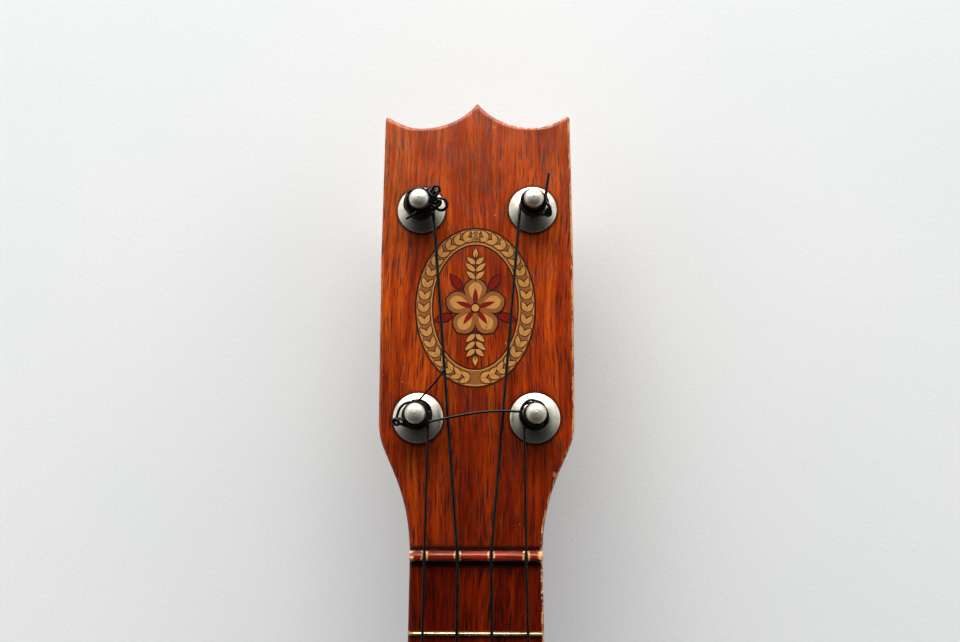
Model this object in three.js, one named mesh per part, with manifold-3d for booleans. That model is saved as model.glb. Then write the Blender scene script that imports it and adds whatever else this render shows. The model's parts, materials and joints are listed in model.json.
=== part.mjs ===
// Soprano ukulele with a plain koa body, a crown-topped headstock and four friction pegs.
//
// Millimetres, +Z up. The finished instrument lies on its back: the back plate is on z = 0, the head points
// along +Y, the treble side is +X, and the origin is under the middle of the whole instrument.
//
// Most pieces are drawn in the instrument frame, whose origin is the front edge of the nut on the
// fingerboard surface: +Y runs to the head, -Y to the tail, and +Z out of the soundboard. The headstock
// leans back from that plane, so what sits on it is drawn in a nested head frame that starts at the nut's
// back edge. The body gets deeper towards the tail, which is why the instrument frame is itself tilted.
import * as THREE from "three";
import { mergeVertices } from "three/addons/utils/BufferGeometryUtils.js";
import Module from "manifold-3d";

const wasm = await Module();
wasm.setup();

// ---------------------------------------------------------------- driving dimensions
const GAP = 0.1; // between pieces that touch
const SCALE_LENGTH = 345;
const FRETS = 12;
const NUT_WIDTH = 36.5;
const NUT_THICKNESS = 2.7;
const NUT_HEIGHT = 1.7; // above the fingerboard
const NUT_DEPTH = 2.5; // below it

const HEAD_ANGLE = THREE.MathUtils.degToRad(8);
const HEAD_THICKNESS = 10.4;
const HEAD_LENGTH = 133.5; // from the nut's back edge to the point of the crown
const HEAD_HALF_WIDTH = 28.2;

const NECK_END_WIDTH = 42;
const NECK_DEPTH = 13.8;
const BODY_LENGTH = 238;
const BODY_DEPTH_AT_NECK = 57;
const BODY_DEPTH_AT_TAIL = 62;
const PLATE = 2.2; // soundboard and back
const RIB = 2;
const LINING_THICKNESS = 5;
const LINING_HEIGHT = 7;
const SOUNDHOLE_RADIUS = 25.5;
const SOUNDHOLE_FROM_JOINT = 80;

const BRIDGE_LENGTH = 66;
const BRIDGE_WIDTH = 15;
const BRIDGE_HEIGHT = 4.4;
const SADDLE_TOP = 5.5;
const SADDLE_THICKNESS = 1.9;
const SADDLE_SETBACK = 1.5; // compensation: the saddle is this much past the scale length

// Each string's peg on the headstock, its place across the nut and the saddle, the side of the post that
// it leaves from, its diameter, how thick its turns on the post are, and which way its button points.
const STRINGS = {
  g: { peg: [-16.5, 36.4], nut: -14.0, saddle: -20.4, side: 1, diameter: 0.75, turns: 3.6, button: 20 },
  c: { peg: [-16.5, 98.5], nut: -5.0, saddle: -6.8, side: 1, diameter: 0.95, turns: 4.1, button: -35 },
  e: { peg: [16.5, 98.5], nut: 4.2, saddle: 6.8, side: -1, diameter: 0.85, turns: 4.1, button: 50 },
  a: { peg: [16.5, 36.4], nut: 13.7, saddle: 20.4, side: -1, diameter: 0.75, turns: 3.5, button: -10 },
};
const STRING_HEIGHT_AT_POST = 5; // above the headstock face

// Friction peg, measured along its axis from the headstock face.
const PEG_HOLE_RADIUS = 2.4;
const POST_RADIUS = 2.2;
const POST_CAP_RADIUS = 2.85;
const WASHER_BORE_RADIUS = 2.4;
const FRONT_WASHER_RADIUS = 7.15;
const REAR_WASHER_RADIUS = 6;
const ROUND_SIDES = 20;

// ---------------------------------------------------------------- worked out from them
const fretDistance = (n) => SCALE_LENGTH * (1 - 2 ** (-n / 12));
const JOINT_Y = -(fretDistance(FRETS) + 2.5);
const TAIL_Y = JOINT_Y - BODY_LENGTH;
const SADDLE_Y = -(SCALE_LENGTH + SADDLE_SETBACK);
const SOUNDHOLE_Y = JOINT_Y - SOUNDHOLE_FROM_JOINT;
const TAPER = Math.atan((BODY_DEPTH_AT_TAIL - BODY_DEPTH_AT_NECK) / BODY_LENGTH);
const backZ = (y) => -BODY_DEPTH_AT_TAIL + (y - TAIL_Y) * Math.tan(TAPER);
const insideBackZ = (y) => backZ(y) + PLATE;

// ---------------------------------------------------------------- materials
const finish = (color, roughness, metalness = 0) => new THREE.MeshStandardMaterial({ color, roughness, metalness });
const koa = finish(0x96431c, 0.28);
const darkKoa = finish(0x7a2c12, 0.32);
const bareWood = finish(0xb98a5a, 0.7);
const inlay = finish(0x1a1512, 0.35);
const nickel = finish(0xb9b6a8, 0.34, 1);
const fretWire = finish(0xb8a878, 0.3, 1);
const celluloid = finish(0xe4d6b0, 0.3);
const nylon = finish(0x0a0a0b, 0.25);
const bone = finish(0xe9dfc4, 0.4);

// ---------------------------------------------------------------- frames and helpers
const ukulele = new THREE.Group();
const instrument = new THREE.Group();
const head = new THREE.Group();
ukulele.add(instrument);
instrument.add(head);
head.position.set(0, NUT_THICKNESS, 0);
head.rotation.x = -HEAD_ANGLE;
head.updateMatrix();

function piece(name, geometry, material, parent = instrument) {
  const mesh = new THREE.Mesh(geometry, material);
  mesh.name = name;
  parent.add(mesh);
  return mesh;
}

// A closed geometry as a manifold-3d solid, for cutting and joining.
function solid(geometry) {
  const bare = geometry.clone();
  bare.deleteAttribute("normal");
  bare.deleteAttribute("uv");
  const merged = mergeVertices(bare, 1e-4);
  return new wasm.Manifold(
    new wasm.Mesh({
      numProp: 3,
      vertProperties: merged.attributes.position.array,
      triVerts: new Uint32Array(merged.index.array),
    }),
  );
}

function geometryOf(made) {
  const mesh = made.getMesh();
  const geometry = new THREE.BufferGeometry();
  geometry.setAttribute("position", new THREE.BufferAttribute(mesh.vertProperties, 3));
  geometry.setIndex(new THREE.BufferAttribute(mesh.triVerts, 1));
  geometry.computeVertexNormals();
  return geometry;
}

const cut = (geometry, ...cutters) =>
  geometryOf(cutters.reduce((made, cutter) => made.subtract(solid(cutter)), solid(geometry)));

// A box by its lowest and highest corners.
function box([x0, y0, z0], [x1, y1, z1]) {
  return new THREE.BoxGeometry(x1 - x0, y1 - y0, z1 - z0).translate((x0 + x1) / 2, (y0 + y1) / 2, (z0 + z1) / 2);
}

// A solid of revolution about Z from (radius, z) pairs, listed from low z to high z on the outside.
function turned(profile, sides = ROUND_SIDES) {
  const points = profile.map(([r, z]) => new THREE.Vector2(r, z));
  return new THREE.LatheGeometry(points, sides).rotateX(Math.PI / 2);
}

// The same for a ring or tube, whose profile closes on itself.
const turnedRing = (profile, sides) => turned([...profile, profile[0]], sides);

const polygon = (points) => new THREE.Shape(points.map(([x, y]) => new THREE.Vector2(x, y)));

// A profile in X and Z, extruded along Y from y0 to y1.
function alongY(shape, y0, y1) {
  return new THREE.ExtrudeGeometry(shape, { depth: y1 - y0, bevelEnabled: false })
    .rotateX(Math.PI / 2)
    .translate(0, y1, 0);
}

// A profile in Y and Z, extruded along X and centred on x = 0.
function alongX(shape, length) {
  return new THREE.ExtrudeGeometry(shape, { depth: length, bevelEnabled: false })
    .rotateX(Math.PI / 2)
    .rotateZ(Math.PI / 2)
    .translate(-length / 2, 0, 0);
}

// A plan outline, listed anticlockwise, made solid between two heights that may vary with y.
function prism(outline, topZ, bottomZ) {
  const n = outline.length;
  const caps = THREE.ShapeUtils.triangulateShape(outline, []);
  const position = [];
  outline.forEach((p) => position.push(p.x, p.y, topZ(p.y)));
  outline.forEach((p) => position.push(p.x, p.y, bottomZ(p.y)));
  const index = [];
  for (const [a, b, c] of caps) index.push(a, b, c, a + n, c + n, b + n);
  for (let i = 0; i < n; i++) {
    const j = (i + 1) % n;
    index.push(i, i + n, j + n, i, j + n, j);
  }
  const geometry = new THREE.BufferGeometry();
  geometry.setAttribute("position", new THREE.Float32BufferAttribute(position, 3));
  geometry.setIndex(index);
  return geometry;
}

// A solid through rings with the same number of points, each listed the same way round.
function loft(rings) {
  const n = rings[0].length;
  const position = rings.flat().flatMap((p) => [p.x, p.y, p.z]);
  const index = [];
  for (let r = 0; r + 1 < rings.length; r++) {
    for (let i = 0; i < n; i++) {
      const a = r * n + i;
      const b = r * n + ((i + 1) % n);
      index.push(a, b, b + n, a, b + n, a + n);
    }
  }
  const cap = (r, forward) => {
    const centre = rings[r].reduce((sum, p) => sum.add(p), new THREE.Vector3()).divideScalar(n);
    const c = position.push(centre.x, centre.y, centre.z) / 3 - 1;
    for (let i = 0; i < n; i++) {
      const a = r * n + i;
      const b = r * n + ((i + 1) % n);
      index.push(...(forward ? [c, a, b] : [c, b, a]));
    }
  };
  cap(0, false);
  cap(rings.length - 1, true);
  const geometry = new THREE.BufferGeometry();
  geometry.setAttribute("position", new THREE.Float32BufferAttribute(position, 3));
  geometry.setIndex(index);
  return geometry;
}

// A route through points that a tube follows corner by corner.
class Route extends THREE.Curve {
  constructor(points) {
    super();
    this.points = points;
  }
  getPoint(t) {
    const s = t * (this.points.length - 1);
    const i = Math.min(Math.floor(s), this.points.length - 2);
    return this.points[i].clone().lerp(this.points[i + 1], s - i);
  }
  getPointAt(u) {
    return this.getPoint(u);
  }
  getTangentAt(u) {
    const last = this.points.length - 1;
    const i = Math.round(u * last);
    const into = this.points[Math.max(i, 1)].clone().sub(this.points[Math.max(i, 1) - 1]).normalize();
    const out = this.points[Math.min(i, last - 1) + 1].clone().sub(this.points[Math.min(i, last - 1)]).normalize();
    return into.add(out).normalize();
  }
}

function tube(points, radius, sides = 8) {
  const circle = new THREE.Shape(new THREE.Path().absarc(0, 0, radius, 0, 2 * Math.PI).getSpacedPoints(sides));
  const extrudePath = new Route(points);
  return new THREE.ExtrudeGeometry(circle, { steps: points.length - 1, extrudePath, bevelEnabled: false });
}

// ---------------------------------------------------------------- body
// The treble half of the body's outline, from the neck joint to the tail, in the instrument frame.
const OUTLINE_STEPS = 40;
const halfOutline = (() => {
  const path = new THREE.Path();
  path.moveTo(0, 0);
  path.lineTo(21, 0);
  path.bezierCurveTo(44, 0, 60.5, -22, 60.5, -48);
  path.bezierCurveTo(60.5, -68, 49, -80, 49, -98);
  path.bezierCurveTo(49, -122, 79.5, -135, 79.5, -172);
  path.bezierCurveTo(79.5, -212, 42, -BODY_LENGTH, 0, -BODY_LENGTH);
  return path.getSpacedPoints(OUTLINE_STEPS).map((p) => new THREE.Vector2(p.x, p.y + JOINT_Y));
})();

// The same half, moved inwards by a distance. Its two ends stay on the centre line.
function insetOutline(distance) {
  return halfOutline.map((p, i) => {
    const before = halfOutline[Math.max(i - 1, 0)];
    const after = halfOutline[Math.min(i + 1, OUTLINE_STEPS)];
    const along = after.clone().sub(before).normalize();
    if (i === 0 || i === OUTLINE_STEPS) along.set(i === 0 ? 1 : -1, 0);
    return new THREE.Vector2(p.x + along.y * distance, p.y - along.x * distance);
  });
}

const mirrored = (points) => points.map((p) => new THREE.Vector2(-p.x, p.y)).reverse();

// Half the body's inside width at a y, measured to a line inset from the outline.
function halfWidthAt(y, distance) {
  const line = insetOutline(distance);
  const i = line.findIndex((p, k) => k > 0 && p.y <= y && p.x > 1);
  const share = (line[i - 1].y - y) / (line[i - 1].y - line[i].y);
  return THREE.MathUtils.lerp(line[i - 1].x, line[i].x, share);
}

// A strip that follows the outline between two insets, on one side, kept clear of the centre line.
function strip(outer, inner, from, to, topZ, bottomZ, bass) {
  const clear = (p) => new THREE.Vector2(Math.max(p.x, GAP / 2), p.y);
  const outside = insetOutline(outer).map(clear).slice(from, to + 1);
  const inside = insetOutline(inner).map(clear).slice(from, to + 1);
  const outline = [...inside, ...outside.reverse()];
  return prism(bass ? mirrored(outline) : outline, topZ, bottomZ);
}

const plateShape = new THREE.Shape([...mirrored(halfOutline), ...halfOutline.slice(1, -1)].reverse());

function makeSoundboard() {
  const board = new THREE.ExtrudeGeometry(plateShape, { depth: PLATE, bevelEnabled: false }).translate(0, 0, -PLATE);
  const hole = new THREE.CylinderGeometry(SOUNDHOLE_RADIUS, SOUNDHOLE_RADIUS, 3 * PLATE, 48)
    .rotateX(Math.PI / 2)
    .translate(0, SOUNDHOLE_Y, 0);
  const rosetteOuter = SOUNDHOLE_RADIUS + 7;
  const rosetteInner = SOUNDHOLE_RADIUS + 3.5;
  const rosetteDepth = 0.9;
  const ring = (inner, outer, bottom, top) =>
    turnedRing([[inner, bottom], [outer, bottom], [outer, top], [inner, top]], 48).translate(0, SOUNDHOLE_Y, 0);
  const groove = ring(rosetteInner - GAP, rosetteOuter + GAP, -rosetteDepth - GAP, PLATE);
  piece("soundboard", cut(board, hole, groove), koa);
  piece("rosette", ring(rosetteInner, rosetteOuter, -rosetteDepth, 0), inlay);
}

function makeBackAndRibs() {
  const back = new THREE.ExtrudeGeometry(plateShape, { depth: PLATE, bevelEnabled: false }).translate(0, -TAIL_Y, 0);
  const plate = piece("back_plate", back, koa);
  plate.position.set(0, TAIL_Y, -BODY_DEPTH_AT_TAIL);
  plate.rotation.x = TAPER;
  const top = () => -PLATE - GAP / 2;
  const bottom = (y) => insideBackZ(y) + GAP;
  piece("rib_treble", strip(0, RIB, 0, OUTLINE_STEPS, top, bottom, false), koa);
  piece("rib_bass", strip(0, RIB, 0, OUTLINE_STEPS, top, bottom, true), koa);
}

function makeBlocksAndLinings() {
  const inner = insetOutline(RIB + GAP);
  const topZ = () => -PLATE - GAP;
  const bottomZ = (y) => insideBackZ(y) + 2 * GAP;
  const block = (halfWidth, edge, innerY) => {
    const next = edge.findIndex((p) => p.x > halfWidth);
    const share = (halfWidth - edge[next - 1].x) / (edge[next].x - edge[next - 1].x);
    const corner = edge[next - 1].clone().lerp(edge[next], share);
    const half = [...edge.slice(0, next), corner, new THREE.Vector2(halfWidth, innerY)];
    const outline = [...mirrored(half), ...half.slice(1)];
    return THREE.ShapeUtils.isClockWise(outline) ? outline.reverse() : outline;
  };
  const nearNeck = inner.slice(0, OUTLINE_STEPS / 2);
  const nearTail = inner.slice(OUTLINE_STEPS / 2).reverse();
  piece("neck_block", prism(block(26, nearNeck, JOINT_Y - 28), topZ, bottomZ), bareWood);
  piece("tail_block", prism(block(20, nearTail, TAIL_Y + 17), topZ, bottomZ), bareWood);

  // The linings run along the ribs from block to block, under the soundboard and on the back.
  const first = halfOutline.findIndex((p) => p.x > 28);
  const last = OUTLINE_STEPS - [...halfOutline].reverse().findIndex((p) => p.x > 24);
  const outer = RIB + GAP;
  const width = outer + LINING_THICKNESS;
  for (const side of ["treble", "bass"]) {
    const bass = side === "bass";
    const topLow = () => -PLATE - GAP - LINING_HEIGHT;
    const backHigh = (y) => insideBackZ(y) + 2 * GAP + LINING_HEIGHT;
    piece(`top_lining_${side}`, strip(outer, width, first, last, topZ, topLow, bass), bareWood);
    piece(`back_lining_${side}`, strip(outer, width, first, last, backHigh, bottomZ, bass), bareWood);
  }
}

// Cross braces have a flat glued edge at z = 0 and taper to thin ends; up is 1 or -1.
function brace(length, height, width, up) {
  const half = length / 2;
  const tip = 2;
  const slope = 16;
  const profile = [[-half, 0], [half, 0], [half, tip], [half - slope, height], [slope - half, height], [-half, tip]];
  return alongY(polygon(profile.map(([x, z]) => [x, z * up])), -width / 2, width / 2);
}

function makeBraces() {
  const clearOfLining = RIB + LINING_THICKNESS + 4 * GAP;
  const length = (y) => 2 * Math.min(...[-2.5, 0, 2.5].map((side) => halfWidthAt(y + side, clearOfLining))) - 0.4;
  const topPlaces = { upper: SOUNDHOLE_Y + 38, lower: SOUNDHOLE_Y - 38 };
  for (const [name, y] of Object.entries(topPlaces)) {
    piece(`top_brace_${name}`, brace(length(y), 7, 5, -1), bareWood).position.set(0, y, -PLATE - GAP);
  }
  const backPlaces = { upper: JOINT_Y - 60, lower: JOINT_Y - 165 };
  for (const [name, y] of Object.entries(backPlaces)) {
    const made = piece(`back_brace_${name}`, brace(length(y), 7, 5, 1), bareWood);
    made.position.set(0, y, insideBackZ(y) + 2 * GAP);
    made.rotation.x = TAPER;
  }
  const plate = box([-36, -12, -1.6], [36, 12, 0]);
  piece("bridge_plate", plate, bareWood).position.set(0, SADDLE_Y, -PLATE - GAP);
}

// ---------------------------------------------------------------- bridge, saddle and nut
const BRIDGE_LEDGE = 2.2; // height of the ledge behind the tie block, where the knots sit
const BRIDGE_FRONT_Y = SADDLE_Y + 4.5;
const STRING_SLOT = 1.3;

function makeBridge() {
  const half = BRIDGE_LENGTH / 2;
  const block = 25;
  const outline = new THREE.Shape();
  outline.moveTo(-half, 0);
  outline.lineTo(half, 0);
  outline.lineTo(half, 1.4);
  outline.bezierCurveTo(half - 3, 2, block + 3, 1.8, block, BRIDGE_HEIGHT);
  outline.lineTo(-block, BRIDGE_HEIGHT);
  outline.bezierCurveTo(-block - 3, 1.8, -half + 3, 2, -half, 1.4);
  outline.curves.forEach((curve) => (curve.arcLengthDivisions = 40));
  const profile = new THREE.Shape(outline.getPoints(5));
  const backY = BRIDGE_FRONT_Y - BRIDGE_WIDTH;
  const blank = alongY(profile, backY, BRIDGE_FRONT_Y).translate(0, 0, GAP / 2);
  const ledge = box([-half - 1, backY - 1, BRIDGE_LEDGE], [half + 1, backY + 5, BRIDGE_HEIGHT + 1]);
  const saddleHalf = 23 + GAP;
  const grooveHalf = SADDLE_THICKNESS / 2 + GAP;
  const groove = box([-saddleHalf, SADDLE_Y - grooveHalf, 2], [saddleHalf, SADDLE_Y + grooveHalf, BRIDGE_HEIGHT + 1]);
  const slots = Object.values(STRINGS).map(({ saddle: x }) =>
    box([x - STRING_SLOT / 2, backY + 4, 2.4], [x + STRING_SLOT / 2, SADDLE_Y, BRIDGE_HEIGHT + 1]),
  );
  piece("bridge", cut(blank, ledge, groove, ...slots), koa);

  const t = SADDLE_THICKNESS / 2;
  const shoulder = SADDLE_TOP - 0.5;
  const crest = 0.4;
  const section = polygon([
    [-t, 2 + GAP], [t, 2 + GAP], [t, shoulder], [crest, SADDLE_TOP], [-crest, SADDLE_TOP], [-t, shoulder],
  ]);
  piece("saddle", alongX(section, 46), bone).position.set(0, SADDLE_Y, 0);
}

const NUT_SLOT_DEPTH = 0.6;

function makeNut() {
  const low = -NUT_DEPTH + GAP;
  const high = NUT_HEIGHT;
  const back = NUT_THICKNESS - GAP / 2;
  const section = polygon([
    [GAP / 2, low], [back, low], [back, high - 0.9], [back - 0.6, high - 0.2], [1.5, high], [0.5, high - 0.1],
    [GAP / 2, high - 0.5],
  ]);
  const slots = Object.values(STRINGS).map(({ nut: x, diameter: d }) =>
    box([x - d / 2 - GAP, -1, high - NUT_SLOT_DEPTH], [x + d / 2 + GAP, NUT_THICKNESS + 1, high + 1]),
  );
  piece("nut", cut(alongX(section, NUT_WIDTH), ...slots), darkKoa);
}

// ---------------------------------------------------------------- neck, headstock and frets
const neckHalfWidth = (y) => THREE.MathUtils.mapLinear(y, 0, JOINT_Y, NUT_WIDTH, NECK_END_WIDTH) / 2;

// One cross-section of the neck: flat on top, rounded below, cut off flat at the heel's cap.
function neckRing({ y, halfWidth, depth, fullness, cap }) {
  const steps = 14;
  const ring = [];
  for (let i = 0; i <= steps; i++) {
    const angle = (Math.PI * i) / steps;
    const x = -halfWidth * Math.sign(Math.cos(angle)) * Math.abs(Math.cos(angle)) ** fullness;
    ring.push(new THREE.Vector3(x, y, Math.max(-depth * Math.sin(angle), -cap)));
  }
  return ring;
}

// Half of the headstock's plan in the head frame: the flare from the neck, the side and the crown.
function headShape() {
  const w = HEAD_HALF_WIDTH;
  const start = NUT_WIDTH / 2;
  const right = new THREE.Path();
  right.moveTo(start, 0);
  right.bezierCurveTo(start + 0.3, 12, 22.3, 19.5, 24.8, 25);
  right.bezierCurveTo(26.6, 29, w - 0.6, 31, w - 0.5, 36);
  right.lineTo(w + 0.1, 85);
  right.lineTo(w - 0.1, 129.5);
  right.bezierCurveTo(25, 127.5, 21.5, 125.2, 17, 125.2);
  right.bezierCurveTo(10, 125.2, 3.4, 128.6, 0, HEAD_LENGTH);
  const half = right.getPoints(7);
  const left = half.map((p) => new THREE.Vector2(-p.x, p.y)).reverse();
  return new THREE.Shape([...half, ...left.slice(1)]);
}

function makeNeck() {
  const heelDepth = BODY_DEPTH_AT_NECK - 1;
  // y, depth below the fingerboard, and fullness of the curve: under 1 is a round D, over 1 is a V.
  const stations = [
    [16, 11.6, 0.72], [8, 12.8, 0.74], [0, NECK_DEPTH, 0.78], [-20, 14.1, 0.8], [-70, 14.8, 0.8], [-125, 15.6, 0.8],
    [-138, 16.6, 0.84], [-148, 19, 0.9], [-156, 24, 0.98], [-162, 31, 1.06], [-167, 40.5, 1.12], [-171, 50.5, 1.18],
    [JOINT_Y + GAP, 62, 1.22],
  ];
  const rings = stations.map(([y, depth, fullness]) =>
    neckRing({ y, halfWidth: y > 0 ? NUT_WIDTH / 2 : neckHalfWidth(y), depth, fullness, cap: heelDepth }),
  );
  const shaft = loft(rings);
  const headBlank = new THREE.ExtrudeGeometry(headShape(), { depth: HEAD_THICKNESS, bevelEnabled: false })
    .translate(0, 0, -HEAD_THICKNESS)
    .applyMatrix4(head.matrix);
  const overHead = box([-40, 0, -GAP / 2], [40, 40, 20]).applyMatrix4(head.matrix);
  const nutSeat = box([-40, 0, -NUT_DEPTH], [40, NUT_THICKNESS, 20]);
  const pegHoles = Object.values(STRINGS).map(({ peg: [x, y] }) =>
    new THREE.CylinderGeometry(PEG_HOLE_RADIUS, PEG_HOLE_RADIUS, 4 * HEAD_THICKNESS, ROUND_SIDES)
      .rotateX(Math.PI / 2)
      .translate(x, y, 0)
      .applyMatrix4(head.matrix),
  );
  const fretSlots = [];
  for (let n = 1; n <= FRETS; n++) {
    const y = -fretDistance(n);
    fretSlots.push(box([-40, y - 0.35, -2], [40, y + 0.35, 5]));
  }
  const joined = solid(shaft).subtract(solid(overHead)).add(solid(headBlank));
  piece("neck", cut(geometryOf(joined), nutSeat, ...pegHoles, ...fretSlots), koa);
}

function makeFrets() {
  // A T-shaped wire: a low rounded crown on the fingerboard and a tang in the slot.
  const crown = 0.7;
  const height = 0.8;
  const tang = 0.25;
  const z = 0.02;
  const section = polygon([
    [-tang, -1.8], [tang, -1.8], [tang, z], [crown, z], [crown, 0.3], [0.4, height], [-0.4, height], [-crown, 0.3],
    [-crown, z], [-tang, z],
  ]);
  for (let n = 1; n <= FRETS; n++) {
    const y = -fretDistance(n);
    piece(`fret_${String(n).padStart(2, "0")}`, alongX(section, 2 * neckHalfWidth(y) - 0.2), fretWire).position.y = y;
  }
}

// ---------------------------------------------------------------- friction pegs
const REAR = -HEAD_THICKNESS;
const BUTTON_TOP = REAR - 2.6;
const POST_END = BUTTON_TOP - 4.9;
const SCREW_SEAT = BUTTON_TOP - 15;
const BUTTON_END = SCREW_SEAT - 1.4;

const frontWasher = () =>
  turnedRing([
    [WASHER_BORE_RADIUS, 1.5], [4, 1.4], [6.4, GAP], [FRONT_WASHER_RADIUS, GAP], [FRONT_WASHER_RADIUS, 0.5], [4.2, 2],
    [WASHER_BORE_RADIUS, 2.1],
  ]);

const rearWasher = () =>
  turnedRing([
    [WASHER_BORE_RADIUS, REAR - 2.3], [4.2, REAR - 2.2], [REAR_WASHER_RADIUS, REAR - 0.6],
    [REAR_WASHER_RADIUS, REAR - GAP], [5.3, REAR - GAP], [4, REAR - 1.5], [WASHER_BORE_RADIUS, REAR - 1.6],
  ]);

// The post turns in the headstock's hole and both washers. Its cap is domed, its waist takes the string, and
// its rear end has a hole for the button's screw.
function post() {
  const capTop = 12;
  const screwHole = 1.15;
  const blank = turned([
    [0, POST_END + 7], [screwHole, POST_END + 7], [screwHole, POST_END], [1.7, POST_END], [1.7, BUTTON_TOP],
    [POST_RADIUS, BUTTON_TOP], [POST_RADIUS, 2.3], [3.5, 2.3], [3.5, 2.9], [POST_RADIUS, 3.3],
    [POST_RADIUS, 8.6], [POST_CAP_RADIUS, 9.2], [POST_CAP_RADIUS, 10.4], [2.3, 11.3], [1.3, 11.85], [0, capTop],
  ]);
  const stringHole = new THREE.CylinderGeometry(0.6, 0.6, 12, 8).translate(0, 0, STRING_HEIGHT_AT_POST);
  return cut(blank, stringHole);
}

function button() {
  const ear = new THREE.Shape();
  const top = BUTTON_TOP - 1.5;
  ear.moveTo(3, top);
  ear.lineTo(-3, top);
  ear.bezierCurveTo(-4.5, top - 2, -8.3, top - 2.5, -8.3, top - 6);
  ear.bezierCurveTo(-8.3, top - 10.5, -6.5, BUTTON_END, -3.2, BUTTON_END);
  ear.lineTo(3.2, BUTTON_END);
  ear.bezierCurveTo(6.5, BUTTON_END, 8.3, top - 10.5, 8.3, top - 6);
  ear.bezierCurveTo(8.3, top - 2.5, 4.5, top - 2, 3, top);
  const paddle = alongY(new THREE.Shape(ear.getPoints(5)), -2.4, 2.4);
  const collar = turned([[0, BUTTON_TOP - 6], [4.2, BUTTON_TOP - 5], [4.6, BUTTON_TOP - GAP], [0, BUTTON_TOP - GAP]]);
  const boss = turned([[0, BUTTON_END], [3.4, BUTTON_END], [3.4, BUTTON_TOP - 3], [0, BUTTON_TOP - 3]]);
  const bore = turned([
    [0, BUTTON_END - 1], [2.8, BUTTON_END - 1], [2.8, SCREW_SEAT], [1.2, SCREW_SEAT], [1.2, POST_END - 0.3],
    [1.85, POST_END - 0.3], [1.85, BUTTON_TOP + 1], [0, BUTTON_TOP + 1],
  ]);
  const joined = solid(paddle).add(solid(collar)).add(solid(boss));
  return cut(geometryOf(joined), bore);
}

function buttonScrew() {
  const shank = 0.95;
  const blank = turned([
    [0, BUTTON_END - 0.5], [1.7, BUTTON_END - 0.4], [2.5, BUTTON_END + 0.3], [2.5, SCREW_SEAT - GAP],
    [shank, SCREW_SEAT - GAP], [shank, POST_END + 6], [0, POST_END + 6],
  ]);
  return cut(blank, box([-3, -0.3, BUTTON_END - 1], [3, 0.3, BUTTON_END + 0.4]));
}

// The string's turns on the post, as one ring.
function winding(outer) {
  const inner = POST_RADIUS + GAP;
  const low = 3.6;
  const high = 8;
  const edge = 0.5;
  return turnedRing([
    [inner, low], [outer - edge, low], [outer, low + edge], [outer, high - edge], [outer - edge, high], [inner, high],
  ]);
}

function makePegs() {
  for (const [name, { peg, turns, button: angle }] of Object.entries(STRINGS)) {
    const place = new THREE.Group();
    place.position.set(peg[0], peg[1], 0);
    head.add(place);
    piece(`front_washer_${name}`, frontWasher(), nickel, place);
    piece(`rear_washer_${name}`, rearWasher(), nickel, place);
    piece(`post_${name}`, post(), nickel, place);
    const turn = THREE.MathUtils.degToRad(angle);
    piece(`button_${name}`, button(), celluloid, place).rotation.z = turn;
    piece(`button_screw_${name}`, buttonScrew(), nickel, place).rotation.z = turn;
    piece(`winding_${name}`, winding(turns), nylon, place);
  }
}

// ---------------------------------------------------------------- strings
// Each string runs from its knot behind the bridge, over the saddle and the nut, to its post.
function makeStrings() {
  for (const [name, { peg, nut, saddle, side, diameter, turns }] of Object.entries(STRINGS)) {
    const r = diameter / 2;
    const knotY = BRIDGE_FRONT_Y - BRIDGE_WIDTH + 3.4;
    const nutZ = NUT_HEIGHT - NUT_SLOT_DEPTH + r + GAP / 2;
    const onPost = new THREE.Vector3(peg[0] + side * (turns + r + GAP), peg[1], STRING_HEIGHT_AT_POST);
    const route = [
      [saddle, knotY, BRIDGE_LEDGE + r + 2 * GAP],
      [saddle, SADDLE_Y - 2.2, 3.2 + r],
      [saddle, SADDLE_Y - 0.9, SADDLE_TOP - 0.35 + r + GAP],
      [saddle, SADDLE_Y + 0.3, SADDLE_TOP + r + GAP],
      [nut, 0.6, nutZ],
      [nut, NUT_THICKNESS - 0.4, nutZ],
    ].map((p) => new THREE.Vector3(...p));
    route.push(onPost.applyMatrix4(head.matrix));
    piece(`string_${name}`, tube(route, r), nylon);
  }
}

// ---------------------------------------------------------------- assembly
makeSoundboard();
makeBackAndRibs();
makeBlocksAndLinings();
makeBraces();
makeBridge();
makeNut();
makeNeck();
makeFrets();
makePegs();
makeStrings();

// Laid on its back, with the origin under the middle of its length: the tail's low edge is one end and the
// crown's point the other.
instrument.rotation.x = -TAPER;
const tailEnd = TAIL_Y * Math.cos(TAPER) - BODY_DEPTH_AT_TAIL * Math.sin(TAPER);
const crownEnd = NUT_THICKNESS * Math.cos(TAPER) + HEAD_LENGTH * Math.cos(HEAD_ANGLE + TAPER);
const lift = BODY_DEPTH_AT_TAIL * Math.cos(TAPER) + TAIL_Y * Math.sin(TAPER);
instrument.position.set(0, -(tailEnd + crownEnd) / 2, lift);

export default ukulele;
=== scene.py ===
"""An old koa soprano ukulele lying on its back, seen from above its headstock.

Shapes are worked out in millimetres in two frames of the instrument's own. The instrument frame starts at the
front edge of the nut, on the fingerboard: +Y to the head, -Y to the tail, +Z out of the soundboard. The head
frame starts at the nut's back edge on the headstock's face and leans back with it. INSTRUMENT and HEAD take
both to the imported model's frame, in metres; the pegs' joints say where they are.
"""

import json
import math

import bmesh
import bpy
import numpy as np
from mathutils import Matrix, Vector


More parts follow.
